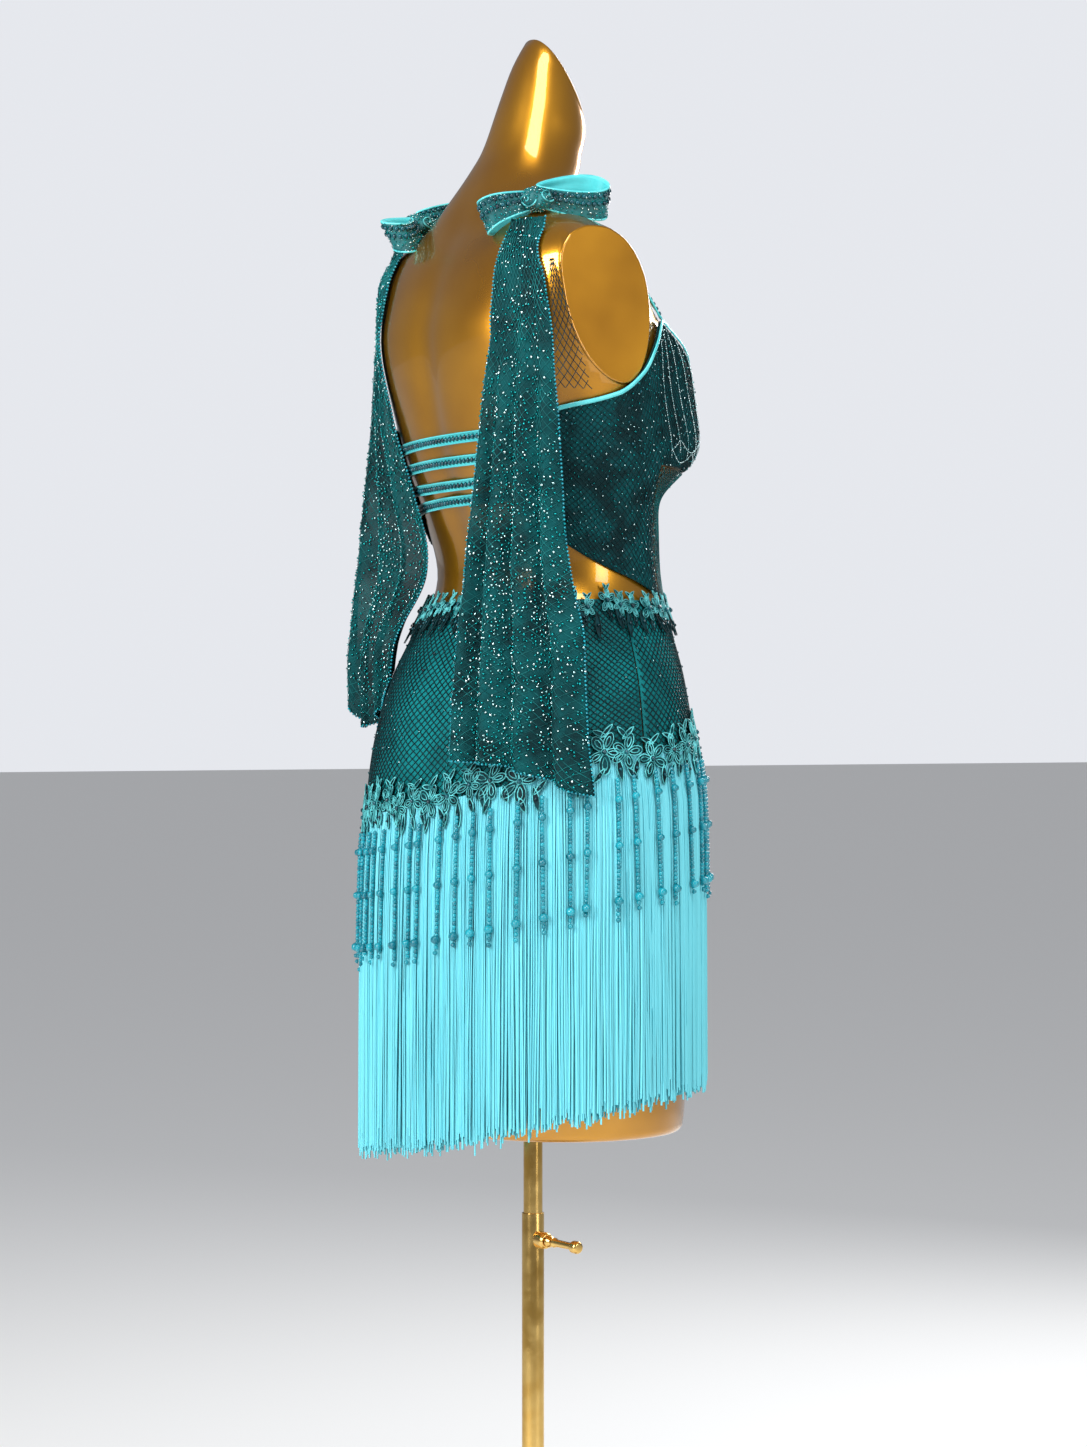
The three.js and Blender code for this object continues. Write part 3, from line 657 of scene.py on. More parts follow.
# %% Threads
net_thread = finish(
    "net_thread", (0.001, 0.014, 0.017), (0.002, 0.035, 0.04), 60.0, (0.4, 0.55),
    Specular_IOR_Level=0.2,
)[0]
drape_thread = finish(
    "drape_thread", (0.002, 0.06, 0.065), (0.008, 0.17, 0.172), 45.0, (0.4, 0.55),
    Specular_IOR_Level=0.2,
)[0]
# The lace cord clouds between its own dark teal and a bright teal; the bright patches are painted
# highlights.
lace_cord = finish(
    "lace_cord", (0.006, 0.17, 0.18), (0.12, 0.60, 0.62), 140.0, (0.4, 0.55)
)[0]
piping = finish(
    "satin_piping", (0.07, 0.52, 0.55), (0.14, 0.70, 0.72), 50.0, (0.3, 0.42)
)[0]


# %% Finishes that vary from piece to piece by a mark
def varied(name, mark, dull, bright, rough, metal, low=0.0, high=1.0, **fixed):
    """A finish whose colour runs from dull to bright by a mark stored on each thread or stone."""
    material, shader, add, cloud = finish(name, dull, dull, 300.0, rough, metal, **fixed)
    amount = add("ShaderNodeAttribute", {"attribute_name": mark})["Fac"]
    share = add("ShaderNodeMapRange", Value=amount, From_Min=low, From_Max=high)[0]
    mixed = add(
        "ShaderNodeMix", {"data_type": "RGBA"}, n_0=share,
        n_6=cloud.outputs["Colour"], n_7=(*bright, 1),
    )[2]
    material.node_tree.links.new(mixed, shader.inputs["Base Color"])
    return material


# The fringe's colour runs by its mark: painted shade that darkens the cords behind, and a random tone
# for each cord.
fringe_rayon = varied(
    "fringe_rayon", "shade", (0.08, 0.47, 0.54), (0.17, 0.66, 0.75), (0.45, 0.55), 0.0,
)
glass_bead = varied(
    "glass_bead", "glint", (0.002, 0.15, 0.20), (0.01, 0.33, 0.41), (0.1, 0.2), 0.0,
    Coat_Weight=0.25, Coat_Roughness=0.03,
)
dark_stone = varied(
    "dark_stone", "glint", (0.001, 0.02, 0.03), (0.003, 0.10, 0.13), (0.12, 0.25), 0.0,
    Coat_Weight=0.1, Coat_Roughness=0.02,
)
sequin_foil = varied(
    "sequin_foil", "glint", (0.01, 0.30, 0.31), (0.75, 0.95, 0.95), (0.1, 0.2), 0.95, 0.55, 0.95
)
print(len(bpy.data.materials), "finishes")

# %% [markdown]
# ## The dress form
# The form is a moulded shell, sprayed gold. It is lofted through the sections of the table,
# and its arms are sawn off flat: the mesh is cut by a plane at each arm, and the edge is
# closed with a small round and a flat lid, as the moulded caps have.

# %% Lofting the form
FORM_BASE, SOCKET_TOP, SOCKET_RADIUS = 640, 720, 9
FORM_AROUND, RIM = 176, 1.8
FOOT_SHARE, FOOT_ROUND, NECK_FOOT = 0.95, 8, 1480


def form_rings():
    """Rings of points from the blind socket, over the rounded foot and up to the neck's lid."""
    turns = np.arange(FORM_AROUND) * 360 / FORM_AROUND
    around = np.radians(turns)
    socket = np.stack([np.sin(around), -np.cos(around), 0 * around], -1) * SOCKET_RADIUS
    foot = figure(turns, FORM_BASE, False)
    rings = [socket * 0.02 + (0, 0, SOCKET_TOP), socket + (0, 0, SOCKET_TOP)]
    rings.append(socket + (0, 0, FORM_BASE + 0.5))
    for share in (0.02, 0.3, 0.6, 0.85):
        flat = socket * (1 - share) + foot * (FOOT_SHARE, FOOT_SHARE, 1) * share
        rings.append(flat + (0, 0, FORM_BASE * (1 - share)))
    for angle in np.radians(np.linspace(0, 90, 7)):
        width = FOOT_SHARE + (1 - FOOT_SHARE) * math.sin(angle)
        rings.append(foot * (width, width, 1) + (0, 0, FOOT_ROUND * (1 - math.cos(angle))))
    top_of_form = SECTIONS[-1, HEIGHT]
    body, neck = np.arange(654, NECK_FOOT, 9), np.arange(NECK_FOOT, top_of_form, 4)
    for z in (*body, *neck, top_of_form):
        rings.append(figure(turns, z, False))
    top = rings[-1]
    middle = top.mean(0)
    slope = math.radians(SECTIONS[-1, TILT])
    upward = np.array([0, -math.sin(slope), math.cos(slope)])
    for angle in np.radians((30, 60, 90)):
        inward = (1 - math.cos(angle)) * RIM / 40
        rings.append(middle + (top - middle) * (1 - inward) + upward * RIM * math.sin(angle))
    for share in (0.6, 0.25, 0.01):
        rings.append(middle + (top - middle) * share + upward * RIM)
    return rings


def loft(rings):
    """Points and faces through closed rings that all have as many points."""
    around = len(rings[0])
    i, j = (a.ravel() for a in np.meshgrid(range(len(rings) - 1), range(around), indexing="ij"))
    row, beside = i * around, (j + 1) % around
    faces = np.stack([row + j, row + beside, row + around + beside, row + around + j], -1)
    return np.concatenate(rings), faces


points, faces = loft(form_rings())
form = mesh_object("form_shell", points, faces=faces.tolist(), finish=gold_paint)


# %% Sawing off the arms
def saw_arm(shape, sign):
    """Cuts one arm off flat, and closes it with a rounded rim and a lid."""
    plane = sign * (ARM_CUT - RIM) * MM
    high = [v for v in shape.verts if v.co.z > ARM_LOW * MM and v.co.x * sign > 0]
    near = {*high, *(e for v in high for e in v.link_edges), *(f for v in high for f in v.link_faces)}
    cut = bmesh.ops.bisect_plane(
        shape, geom=list(near), plane_co=(plane, 0, 0), plane_no=(sign, 0, 0), clear_outer=True
    )["geom_cut"]
    loop = [v for v in cut if isinstance(v, bmesh.types.BMVert)]
    centre = sum((v.co for v in loop), Vector()) / len(loop)
    loop.sort(key=lambda v: math.atan2(v.co.z - centre.z, v.co.y - centre.y))
    previous = loop
    for angle in np.radians((22, 45, 68, 90)):
        ring = []
        for v in loop:
            inward = (centre - v.co).normalized() * RIM * MM * (1 - math.cos(angle))
            aside = Vector((sign * RIM * MM * math.sin(angle), 0, 0))
            ring.append(shape.verts.new(v.co + inward + aside))
        for k in range(len(loop)):
            after = (k + 1) % len(loop)
            shape.faces.new((previous[k], previous[after], ring[after], ring[k])).smooth = True
        previous = ring
    shape.faces.new(previous).smooth = False


shape = bmesh.new()
shape.from_mesh(form.data)
for sign in (1, -1):
    saw_arm(shape, sign)
bmesh.ops.recalc_face_normals(shape, faces=shape.faces)
shape.to_mesh(form.data)
shape.free()
wear(form, "gold_paint", "form")
print("form has", len(form.data.polygons), "faces")

# %% [markdown]
# ## The stand
# Tubes, plate and screw are turned on a lathe in real life, so each is an outline spun round
# an axis. The outline's corners are softened first, because a perfectly sharp edge never
# catches the light.

# %% Spinning softened outlines
SPIN_STEPS = 72


def softened(outline, radius):
    """A closed outline of (radius, height) pairs in mm with each corner cut to a small arc."""
    soft = []
    for k, corner in enumerate(outline):
        corner = np.array(corner, float)
        sides = [np.array(outline[(k + d) % len(outline)], float) - corner for d in (-1, 1)]
        lengths = [np.linalg.norm(s) for s in sides]
        reach = min(radius, *(0.4 * x for x in lengths))
        start, end = (corner + s / x * reach for s, x in zip(sides, lengths))
        if corner[0] == 0:
            soft.append(corner)
            continue
        for t in (0, 0.33, 0.67, 1):
            soft.append((1 - t) ** 2 * start + 2 * t * (1 - t) * corner + t * t * end)
    return soft


def spun(name, outline, radius=0.6, along_screw=False):
    """A brass piece turned about the stand's axis, or about the locking screw's."""
    shape = bmesh.new()
    rings = []
    for r, z in softened(outline, radius):
        angles = [2 * math.pi * k / SPIN_STEPS for k in range(SPIN_STEPS)]
        if along_screw:
            spots = [(-z, r * math.sin(a), SCREW_HEIGHT + r * math.cos(a)) for a in angles]
        else:
            spots = [(r * math.cos(a), r * math.sin(a), z) for a in angles]
        rings.append([shape.verts.new(Vector(s) * MM) for s in spots])
    for k, ring in enumerate(rings):
        above = rings[(k + 1) % len(rings)]
        for a in range(SPIN_STEPS):
            b = (a + 1) % SPIN_STEPS
            shape.faces.new((ring[a], ring[b], above[b], above[a]))
    bmesh.ops.remove_doubles(shape, verts=shape.verts, dist=1e-6)
    bmesh.ops.recalc_face_normals(shape, faces=shape.faces)
    mesh = bpy.data.meshes.new(name)
    shape.to_mesh(mesh)
    shape.free()
    mesh.shade_smooth()
    mesh.set_sharp_from_angle(angle=math.radians(40))
    mesh.materials.append(brass)
    obj = bpy.data.objects.new(name, mesh)
    bpy.context.scene.collection.objects.link(obj)
    return obj


# %% The stand's pieces
SCREW_HEIGHT = 537
STAND = [
    ("plate_disc", "base_plate", "stand", 1.2, False,
     [(0, 0), (150, 0), (152, 3), (148, 8), (60, 11), (20, 14), (16, 24), (0, 24)]),
    ("fixed_tube", "outer_tube", "stand", 0.3, False, [(9, 24.3), (10, 24.3), (10, 560), (9, 560)]),
    ("screw_seat", "screw_boss", "stand", 0.6, True,
     [(3.4, 10.3), (7.5, 10.3), (7.5, 20), (6, 23), (3.4, 23)]),
    ("turning_screw", "locking_screw", "lock", 0.8, True,
     [(0, 9.2), (2.9, 9.2), (2.9, 24), (5.4, 24.6), (5.4, 27), (3, 30), (4.6, 34), (3.4, 37),
      (3.2, 60), (5.6, 63), (5.6, 69), (4, 71), (0, 71)]),
    ("sliding_tube", "inner_tube", "pole", 0.3, False,
     [(7.4, 110), (8.6, 110), (8.6, 716), (7.4, 716)]),
    ("swivel_flange", "form_flange", "figure", 0.8, False,
     [(9, 634), (34, 634), (36, 636), (36, 639.7), (9, 639.7)]),
]
for name, node, body, radius, along_screw, outline in STAND:
    piece = spun(name, outline, radius, along_screw)
    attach(piece, body)
    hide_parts(node)
print("stand pieces:", [row[0] for row in STAND])

# %% [markdown]
# ## Nets and stones for any cloth
# Fishnet is knitted on the bias, so two families of threads cross in diamonds. Here each
# thread is a polyline over the cloth's own surface, so the net stretches and folds exactly as
# the cloth does, and the tree for threads gives it its thickness.

# %% Net threads and stone points
def net_lines(place, width, height, cell, slant=1.0, fine=1):
    """Polylines of a diamond net over place(u, v), which is width x height mm. A cell is
    `cell` mm wide and `slant` times as high, with `fine` steps from crossing to crossing."""
    lines = []
    step = cell / 2 / fine
    for start in np.arange(-height / slant + cell / 2, width, cell):
        along = start + np.arange(0, height / slant + step / 2, step)
        up = (along - start) * slant
        inside = (along >= 0) & (along <= width) & (up <= height)
        if inside.sum() > 1:
            across = along[inside]
            for u in (across / width, 1 - across / width):
                lines.append(place(u, up[inside] / height))
    return lines


def stone_points(name, points, facing, size):
    """An object of loose points that carry the way each stone faces and its size."""
    obj = mesh_object(name, points, smooth=False)
    count = len(points)
    mesh = obj.data
    ways = np.broadcast_to(np.asarray(facing, np.float32), (count, 3))
    mesh.attributes.new("facing", "FLOAT_VECTOR", "POINT").data.foreach_set("vector", ways.ravel())
    sizes = np.broadcast_to(np.asarray(size, np.float32), (count,)).copy()
    mesh.attributes.new("size", "FLOAT", "POINT").data.foreach_set("value", sizes)
    return obj


def spans(place):
    """A cloth's width and height in mm, measured through its middle."""
    t = np.linspace(0, 1, 61)
    half = np.full_like(t, 0.5)
    return [np.linalg.norm(np.diff(place(*uv), axis=0), axis=1).sum() for uv in ((t, half), (half, t))]


def area_of(obj):
    """The area in square metres of one side of a cloth before it has a thickness."""
    return sum(face.area for face in obj.data.polygons)


def mark_dense(obj, value):
    """Stores how densely sequins sit at each point of a cloth."""
    values = np.broadcast_to(np.asarray(value, np.float32), (len(obj.data.vertices),)).copy()
    obj.data.attributes.new("dense", "FLOAT", "POINT").data.foreach_set("value", values)


def sewn_on(cloth_piece, name, finish, gap, density, radius, seed, lift=1.4, tilt=0.25, crown=0.6):
    """Scatters stones over a cloth, as a piece of its own."""
    copy = bpy.data.objects.new(name, cloth_piece.data.copy())
    bpy.context.scene.collection.objects.link(copy)
    copy.data.materials.clear()
    return grow(
        copy, SEQUINS, Radius=radius * MM, Height=radius * 0.8 * MM, Crown=radius * crown * MM,
        Gap=gap * MM, Density=density, Tilt=tilt, Lift=lift * MM, Seed=seed, Finish=finish,
    )


# %% [markdown]
# ## Bodice and yoke panels
# The bodice is five cut pieces: two cups, two side panels and a see-through net front, and
# the skirt's yoke is a front and a back. Each is a rule again: its seams are turns and its
# edges are curves of height. Stretch net is pulled tight over the form, so the pieces lie
# close to it, and a tight cloth has its folds pulled out.

# %% Where the panels lie
SEAM, SEAM_TURN, SKIN, CLOTH_THICK = 0.3, 0.25, 2.2, 1.5
WAIST, UNDERBUST = 1107, 1228
HIP_LINE, HIP_RISE, HIP_HIGH_TURN = 950, 34, -45
CUP_EDGE, SIDE_EDGE = 60, 140
EDGE_TURNS = (0, 12, 26, 42, 52, 64, 74, 90, 115, 140)
TOP_EDGE = (1272, 1289, 1326, 1352, 1348, 1328, 1308, 1287, 1274, 1262)
BOTTOM_EDGE = (1108, 1108, 1108, 1108, 1110, 1114, 1120, 1131, 1152, 1184)


def top_edge(turn):
    return through(EDGE_TURNS, TOP_EDGE, np.abs(turn))


def bottom_edge(turn):
    return through(EDGE_TURNS, BOTTOM_EDGE, np.abs(turn))


def hip_line(turn):
    return HIP_LINE + HIP_RISE * np.cos(np.radians(turn - HIP_HIGH_TURN))


def panel(start, end, low, high):
    """place(u, v) for each lift: a cloth piece between two turns and two edges."""

    def at_lift(lift):
        def place(u, v):
            turn = start + (end - start) * u
            return off(turn, low(turn) + (high(turn) - low(turn)) * v, lift)

        return place

    return at_lift


def level(height):
    return lambda turn: height + 0 * turn


# %% The panels, their nets and their stones
PANELS = {}
for side, sign in (("left", 1), ("right", -1)):
    PANELS[f"cup_{side}"] = (
        panel(sign * SEAM_TURN, sign * (CUP_EDGE - SEAM_TURN), level(UNDERBUST + SEAM), top_edge),
        dark_lining, net_thread, 5.5, 0.26, (44, 36), 0.9,
    )
    PANELS[f"side_panel_{side}"] = (
        panel(sign * (CUP_EDGE + SEAM_TURN), sign * SIDE_EDGE, bottom_edge, top_edge),
        dark_lining, net_thread, 6.0, 0.28, (52, 36), 1.0,
    )
PANELS["net_front"] = (
    panel(
        SEAM_TURN - CUP_EDGE, CUP_EDGE - SEAM_TURN,
        lambda t: bottom_edge(t) + SEAM, level(UNDERBUST),
    ),
    sheer_front, drape_thread, 5.0, 0.3, (72, 36), 0.4,
)
for name, start in (("yoke_front", -90), ("yoke_back", 90)):
    PANELS[name] = (
        panel(
            start + SEAM_TURN, start + 180 - SEAM_TURN,
            lambda t: hip_line(t) + SEAM / 2, level(WAIST - SEAM / 2),
        ),
        lining, net_thread, 7.0, 0.5, (100, 34), 0.55,
    )
SHEETS = {}
for seed, (name, row) in enumerate(PANELS.items()):
    at_lift, stuff, thread, cell, thread_radius, (columns, rows), density = row
    width, height = spans(at_lift(SKIN))
    ground = cloth(f"{name}_cloth", at_lift(SKIN + 0.5), columns, rows, (width, height), stuff)
    mark_dense(ground, density)
    stones = sewn_on(ground, f"{name}_stones", dark_stone, 9.0, 5500, 1.15, seed, lift=1.5)
    sparkle = sewn_on(
        ground, f"{name}_sequins", sequin_foil, 4.4 if density > 0.6 else 13.0, 40000, 0.85,
        10 + seed, lift=1.5, tilt=0.5,
    )
    net = lines_object(f"{name}_net", net_lines(at_lift(SKIN + 1.3), width, height, cell))
    grow(net, THREADS, Radius=thread_radius * MM, Sides=3, Finish=thread)
    SHEETS[name] = (ground, width, height, area_of(ground), [stones, sparkle, net])
    thicken(ground, 0.7)
    wear(ground, "net", name)
    wear(net, "net")
    wear(stones, "beads")
    wear(sparkle, "beads")
    print(name, "is", round(width), "x", round(height), "mm")


# %% [markdown]
# ## Shoulder drapes
# A length of sequinned net is gathered into each shoulder bow and falls free down the back.
# Its soft folds open towards the hem. The cloth is see-through, the net over it is wide, and
# the sequins run down it in streaks, as they are sewn on along the knit.

# %% The drapes' rule
DRAPE_Z = (930, 985, 1070, 1139, 1207, 1276, 1340, 1395, 1424)
DRAPE_EDGES = {
    "right": {
        "inner": (82, 82, 79, 84, 84, 86, 91, 88, 80),
        "outer": (174, 164, 163, 150, 147, 145, 138, 130, 124),
        "inner_y": (139, 136, 128, 122, 115, 110, 104, 94, 84),
        "outer_y": (62, 62, 66, 72, 75, 78, 78, 81, 74),
    },
    "left": {
        "inner": (112, 104, 82, 38, 48, 66, 75, 80, 78),
        "outer": (172, 172, 172, 166, 155, 144, 138, 130, 124),
        "inner_y": (80, 80, 90, 82, 92, 105, 104, 94, 84),
        "outer_y": (86, 86, 86, 84, 81, 78, 78, 81, 74),
    },
}
DRAPE_TOP, DRAPE_FOLDS, DRAPE_SHALLOW, DRAPE_DEEP, DRAPE_CLEAR = 1424, 3.5, 1, 7, 4.6
DRAPE_HEMS = {"right": ((0, 0.5, 1), (968, 962, 938)), "left": ((0, 0.65, 1), (1029, 997, 1024))}


def drape(sign, side):
    """place(u, v) for each lift: u runs from the inner edge to the outer, v from the hem up."""

    def at_lift(lift):
        def place(u, v):
            hem = through(*DRAPE_HEMS[side], u)
            z = hem + (DRAPE_TOP - hem) * v
            gathered = ease((z - 1384) / 40)
            fallen = ease((DRAPE_TOP - z - 20) / 310)
            inner, outer, inner_y, outer_y = (
                through(DRAPE_Z, edge, z) for edge in DRAPE_EDGES[side].values()
            )
            x = inner + (outer - inner) * u
            x = x + (97 - x) * 0.25 * gathered
            y = inner_y + (outer_y - inner_y) * u**1.5 - 5 * gathered**2
            depth = DRAPE_SHALLOW + (DRAPE_DEEP - DRAPE_SHALLOW) * fallen
            y = y + depth * np.sin(2 * np.pi * (DRAPE_FOLDS * u + 0.15))
            wrinkle = np.sin(2 * np.pi * (9.2 * u + 0.9 * np.sin(z / 70) + 0.3)) * np.sin(z / 38 + 5 * u)
            y = y + 1.1 * wrinkle * (0.4 + 0.6 * fallen)
            y = y + 1.6 * np.sin(2 * np.pi * 6 * u) * gathered
            z = z + 12 * gathered**2
            near = x < through(SECTIONS[:, HEIGHT], SECTIONS[:, HALF], z) - 4
            bare = off(turn_at(np.where(near, x, 0), z, "back"), z, DRAPE_CLEAR + 3 * fallen)[..., 1]
            y = np.where(near, np.maximum(y, bare), y)
            return np.stack([sign * (x + lift * 0.4 * u), y + lift, z], -1)

        return place

    return at_lift


# %% The drapes' cloth, net, sequins and edges
DRAPE_CLOTH, DRAPE_COLUMNS, DRAPE_ROWS = 0.4, 64, 84
for seed, (side, sign) in enumerate((("left", 1), ("right", -1))):
    at_lift = drape(sign, side)
    width, height = spans(at_lift(0))
    ground = cloth(
        f"drape_{side}_cloth", at_lift(DRAPE_CLOTH), DRAPE_COLUMNS, DRAPE_ROWS, (width, height),
        sheer_drape,
    )
    u, v = (
        a.ravel()
        for a in np.meshgrid(np.linspace(0, 1, DRAPE_COLUMNS + 1), np.linspace(0, 1, DRAPE_ROWS + 1))
    )
    streaks = 0.5 + 0.5 * np.sin(2 * np.pi * 5.5 * u + 1.5 * np.sin(5 * v))
    heart = np.exp(-(((u - 0.45) / 0.45) ** 2)) * np.exp(-(((v - 0.35) / 0.5) ** 2))
    mark_dense(ground, np.clip(0.3 + 0.45 * streaks * heart + 0.3 * heart, 0, 1))
    sequins = sewn_on(
        ground, f"drape_{side}_sequins", sequin_foil, 2.4, 160000, 1.15, 20 + seed,
        lift=1.0, tilt=0.7, crown=0.8,
    )
    threads = net_lines(at_lift(1.1), width, height, 7.6, 1.15, fine=2)
    net = lines_object(f"drape_{side}_net", threads)
    grow(net, THREADS, Radius=0.27 * MM, Sides=3, Finish=drape_thread)
    t = np.linspace(0, 1, 140)
    zero = 0 * t
    edges = [at_lift(0.8)(*uv) for uv in ((zero, 1 - t), (t, zero), (zero + 1, t))]
    hem = lines_object(f"drape_{side}_hem", [np.concatenate([edges[0], edges[1][1:], edges[2][1:]])])
    grow(
        hem, BEADS, Spacing=3.4 * MM, Radius=1.15 * MM, Stretch=(1.0, 1.0, 1.0), Seed=seed,
        Finish=glass_bead,
    )
    SHEETS[f"drape_{side}"] = (ground, width, height, area_of(ground), [sequins, net, hem])
    thicken(ground, DRAPE_CLOTH)
    wear(ground, "net", f"drape_{side}")
    wear(net, "net")
    wear(sequins, "beads")
    wear(hem, "beads")

# %% The open net at the right drape's outer edge
def wing(u, v):
    """A single layer of net that runs from the drape's edge forward over the arm's cap."""
    z = 1286 + 112 * v
    wide = (1 - v) ** 0.8
    x = through(DRAPE_Z, DRAPE_EDGES["right"]["outer"], z) + 3 + 5 * u * wide
    y = through(DRAPE_Z, DRAPE_EDGES["right"]["outer_y"], z) - 34 * u * wide
    return np.stack([-np.maximum(x, 141 + 4 * u), y, z], -1)


wing_net = lines_object("drape_right_wing", net_lines(wing, 34, 112, 8.5, 1.15, fine=2))
grow(wing_net, THREADS, Radius=0.45 * MM, Sides=3, Finish=net_thread)
wear(wing_net, "net")
SHEETS["drape_right"][4].append(wing_net)

# %% [markdown]
# ## Fringe
# Chainette fringe is a tape with a dense row of knitted rayon cords looped through it. Each
# cord hangs on its own: it drops over the hip, then straight down, sways a little, leans on
# its neighbours and ends where the shears left it. Three layers of cords, one behind another,
# make it as thick as the real one.

# %% The fringe's rule
FRINGE_LENGTH, BEAD_LENGTH, HANG_FROM = 298, 128, 925
FRINGE_DROPS, FRINGE_INNER, FRINGE_OUTER = (0, 30, 120, 298), (2.6, 2.8, 3.6, 4.2), (5, 7.6, 10, 11)


def hanging(turn, drop, lift):
    """Points at a distance below the hip line, straight down once they are past the hip."""
    turn, drop, lift = np.broadcast_arrays(*(np.asarray(a, float) for a in (turn, drop, lift)))
    z = hip_line(turn) - drop
    spot = off(turn, np.maximum(z, HANG_FROM), lift)
    spot[..., 2] += np.minimum(z - HANG_FROM, 0)
    return spot


def even_turns(count, z=930, start=0.0):
    """Turns that are evenly far apart round the figure, as a tape measure has them."""
    fine = np.linspace(0, 360, 1441)
    ring = figure(fine, z)
    way = np.concatenate([[0], np.cumsum(np.linalg.norm(np.diff(ring, axis=0), axis=1))])
    return np.interp((np.arange(count) + start) / count * way[-1], way, fine), way[-1]


# %% Cutting and hanging the cords
STRANDS, LAYERS, STEPS, CLUMP = 900, (0.12, 0.5, 0.88), 8, 9
chance = np.random.default_rng(7)
strands, depth_shades_and_tones = [], []
for layer, share in enumerate(LAYERS):
    turns, hip_round = even_turns(STRANDS, start=layer / 3)
    degree = 360 / hip_round
    fall = np.linspace(0, 1, STEPS + 1)[None, :]
    cut = FRINGE_LENGTH + chance.normal(0, 4.5, (STRANDS, 1)) - 6 * chance.random((STRANDS, 1)) ** 6
    drop = cut * fall**0.9
    middles = np.arange(0, STRANDS + CLUMP, CLUMP)
    clump = np.interp(np.arange(STRANDS), middles, chance.normal(0, 1.0, len(middles)))
    sway = clump[:, None] * 1.2 + chance.normal(0, 0.7, (STRANDS, 1))
    wave = 0.35 * np.sin(fall * 9 + chance.random((STRANDS, 1)) * 6.3)
    turn = turns[:, None] + degree * (sway * fall**1.4 + wave + chance.normal(0, 0.25, (STRANDS, 1)))
    inner, outer = (through(FRINGE_DROPS, side, drop) for side in (FRINGE_INNER, FRINGE_OUTER))
    lift = inner + (outer - inner) * np.clip(share + chance.normal(0, 0.1, (STRANDS, 1)), 0, 1)
    strands += list(hanging(turn, drop, lift))
    # Painted shade: the cords of the layers that hang behind are darker, and each cord adds a random
    # tone of its own.
    depth_shades_and_tones += list(np.clip(0.35 + 0.3 * layer + chance.normal(0, 0.16, STRANDS), 0, 1))
fringe = lines_object("fringe_cords", strands, shade=depth_shades_and_tones)
grow(fringe, THREADS, Radius=0.95 * MM, Sides=3, Finish=fringe_rayon)
wear(fringe, "fringe", "fringe")
print(len(strands), "cords, hips", round(hip_round / 10, 1), "cm round")

# %% The fringe's tape
tape = cloth(
    "fringe_tape", lambda u, v: hanging(360 * u, 9 - 9 * v, 4.0), 160, 3, (hip_round, 9),
    satin, looped=True,
)
thicken(tape, 1.2)
wear(tape, "fringe")

# %% [markdown]
# ## Beaded strands
# Over the fringe hang strings of glass seed beads, each with three faceted drops. The small
# beads are strung by the tree at an even distance, and the drops are stones set at points.

# %% Seed beads and drops
BEAD_STRINGS, DROPS_AT = 48, (34, 73, 120)
turns, hip_round = even_turns(BEAD_STRINGS, start=0.4)
strings, drop_points, drop_sizes = [], [], []
for turn in turns + chance.normal(0, 1.1, BEAD_STRINGS):
    length = BEAD_LENGTH + chance.normal(0, 3)
    lean = chance.normal(0, 0.7)
    drop = np.linspace(18, length, 12)
    path_turn = turn + lean * (drop / length) ** 2
    strings.append(hanging(path_turn, drop, through(FRINGE_DROPS, FRINGE_OUTER, drop) + 2.4))
    at = np.array([*DROPS_AT, length + 5])
    drop_points.append(
        hanging(turn + lean * (at / length) ** 2, at, through(FRINGE_DROPS, FRINGE_OUTER, at) + 3.0)
    )
    drop_sizes += [1.0, 1.0, 1.15, 0.6]
beads = lines_object("bead_strings", strings)
grow(
    beads, BEADS, Spacing=3.3 * MM, Radius=2.1 * MM, Stretch=(1.0, 1.0, 1.15), Seed=3,
    Finish=glass_bead,
)
wear(beads, "beads", "bead_strands")
drop_points = np.concatenate(drop_points)
level_way = drop_points * (1, 1, 0)
outward = level_way / np.linalg.norm(level_way, axis=1, keepdims=True)
drops = stone_points("bead_drops", drop_points, outward, drop_sizes)
grow(
    drops, STONES, Radius=3.8 * MM, Height=3.6 * MM, Crown=2.3 * MM, Sides=8, Seed=5,
    Finish=glass_bead,
)
wear(drops, "beads")

# %% [markdown]
# ## Corded lace
# The hip and the waist are trimmed with flowers and leaves of turquoise cord, couched round
# petals of dark cloth. A flower is drawn flat, petal by petal, then laid on the body's own
# surface. The cords become threads, and each petal's outline is filled for its cloth.

# %% Drawing flowers and leaves
def turned_flat(points, angle):
    s, c = math.sin(angle), math.cos(angle)
    return points @ np.array([[c, s], [-s, c]])


def leaf(length, width, angle, root=(0, 0), steps=12, point=0.75):
    """A closed loop of cord from its root, pointed at its far end."""
    t = np.linspace(0, 2 * np.pi, steps, endpoint=False)
    along = (1 - np.cos(t)) / 2
    side = np.sin(t) * along**0.35 * (1 - point * along**3)
    flat = np.stack([length * along, width / 2 * side], -1)
    return turned_flat(flat, angle) + np.array(root)


def flower(radius, angle, luck, petals=5):
    """Long round petals about a small eye, each with a second, shorter line of cord inside."""
    eye = np.linspace(0, 2 * np.pi, 7, endpoint=False)
    outer, inner = [np.stack([np.cos(eye), np.sin(eye)], -1) * radius * 0.16], []
    for k in range(petals):
        way = angle + 2 * np.pi * (k + luck.normal(0, 0.09)) / petals
        long = radius * luck.uniform(0.82, 1.12)
        root = 0.24 * long * np.array((np.cos(way), np.sin(way)))
        outer.append(leaf(long, long * 0.66, way, steps=12, point=0.2))
        inner.append(leaf(long * 0.56, long * 0.3, way, root, steps=9, point=0.2))
    return outer, inner


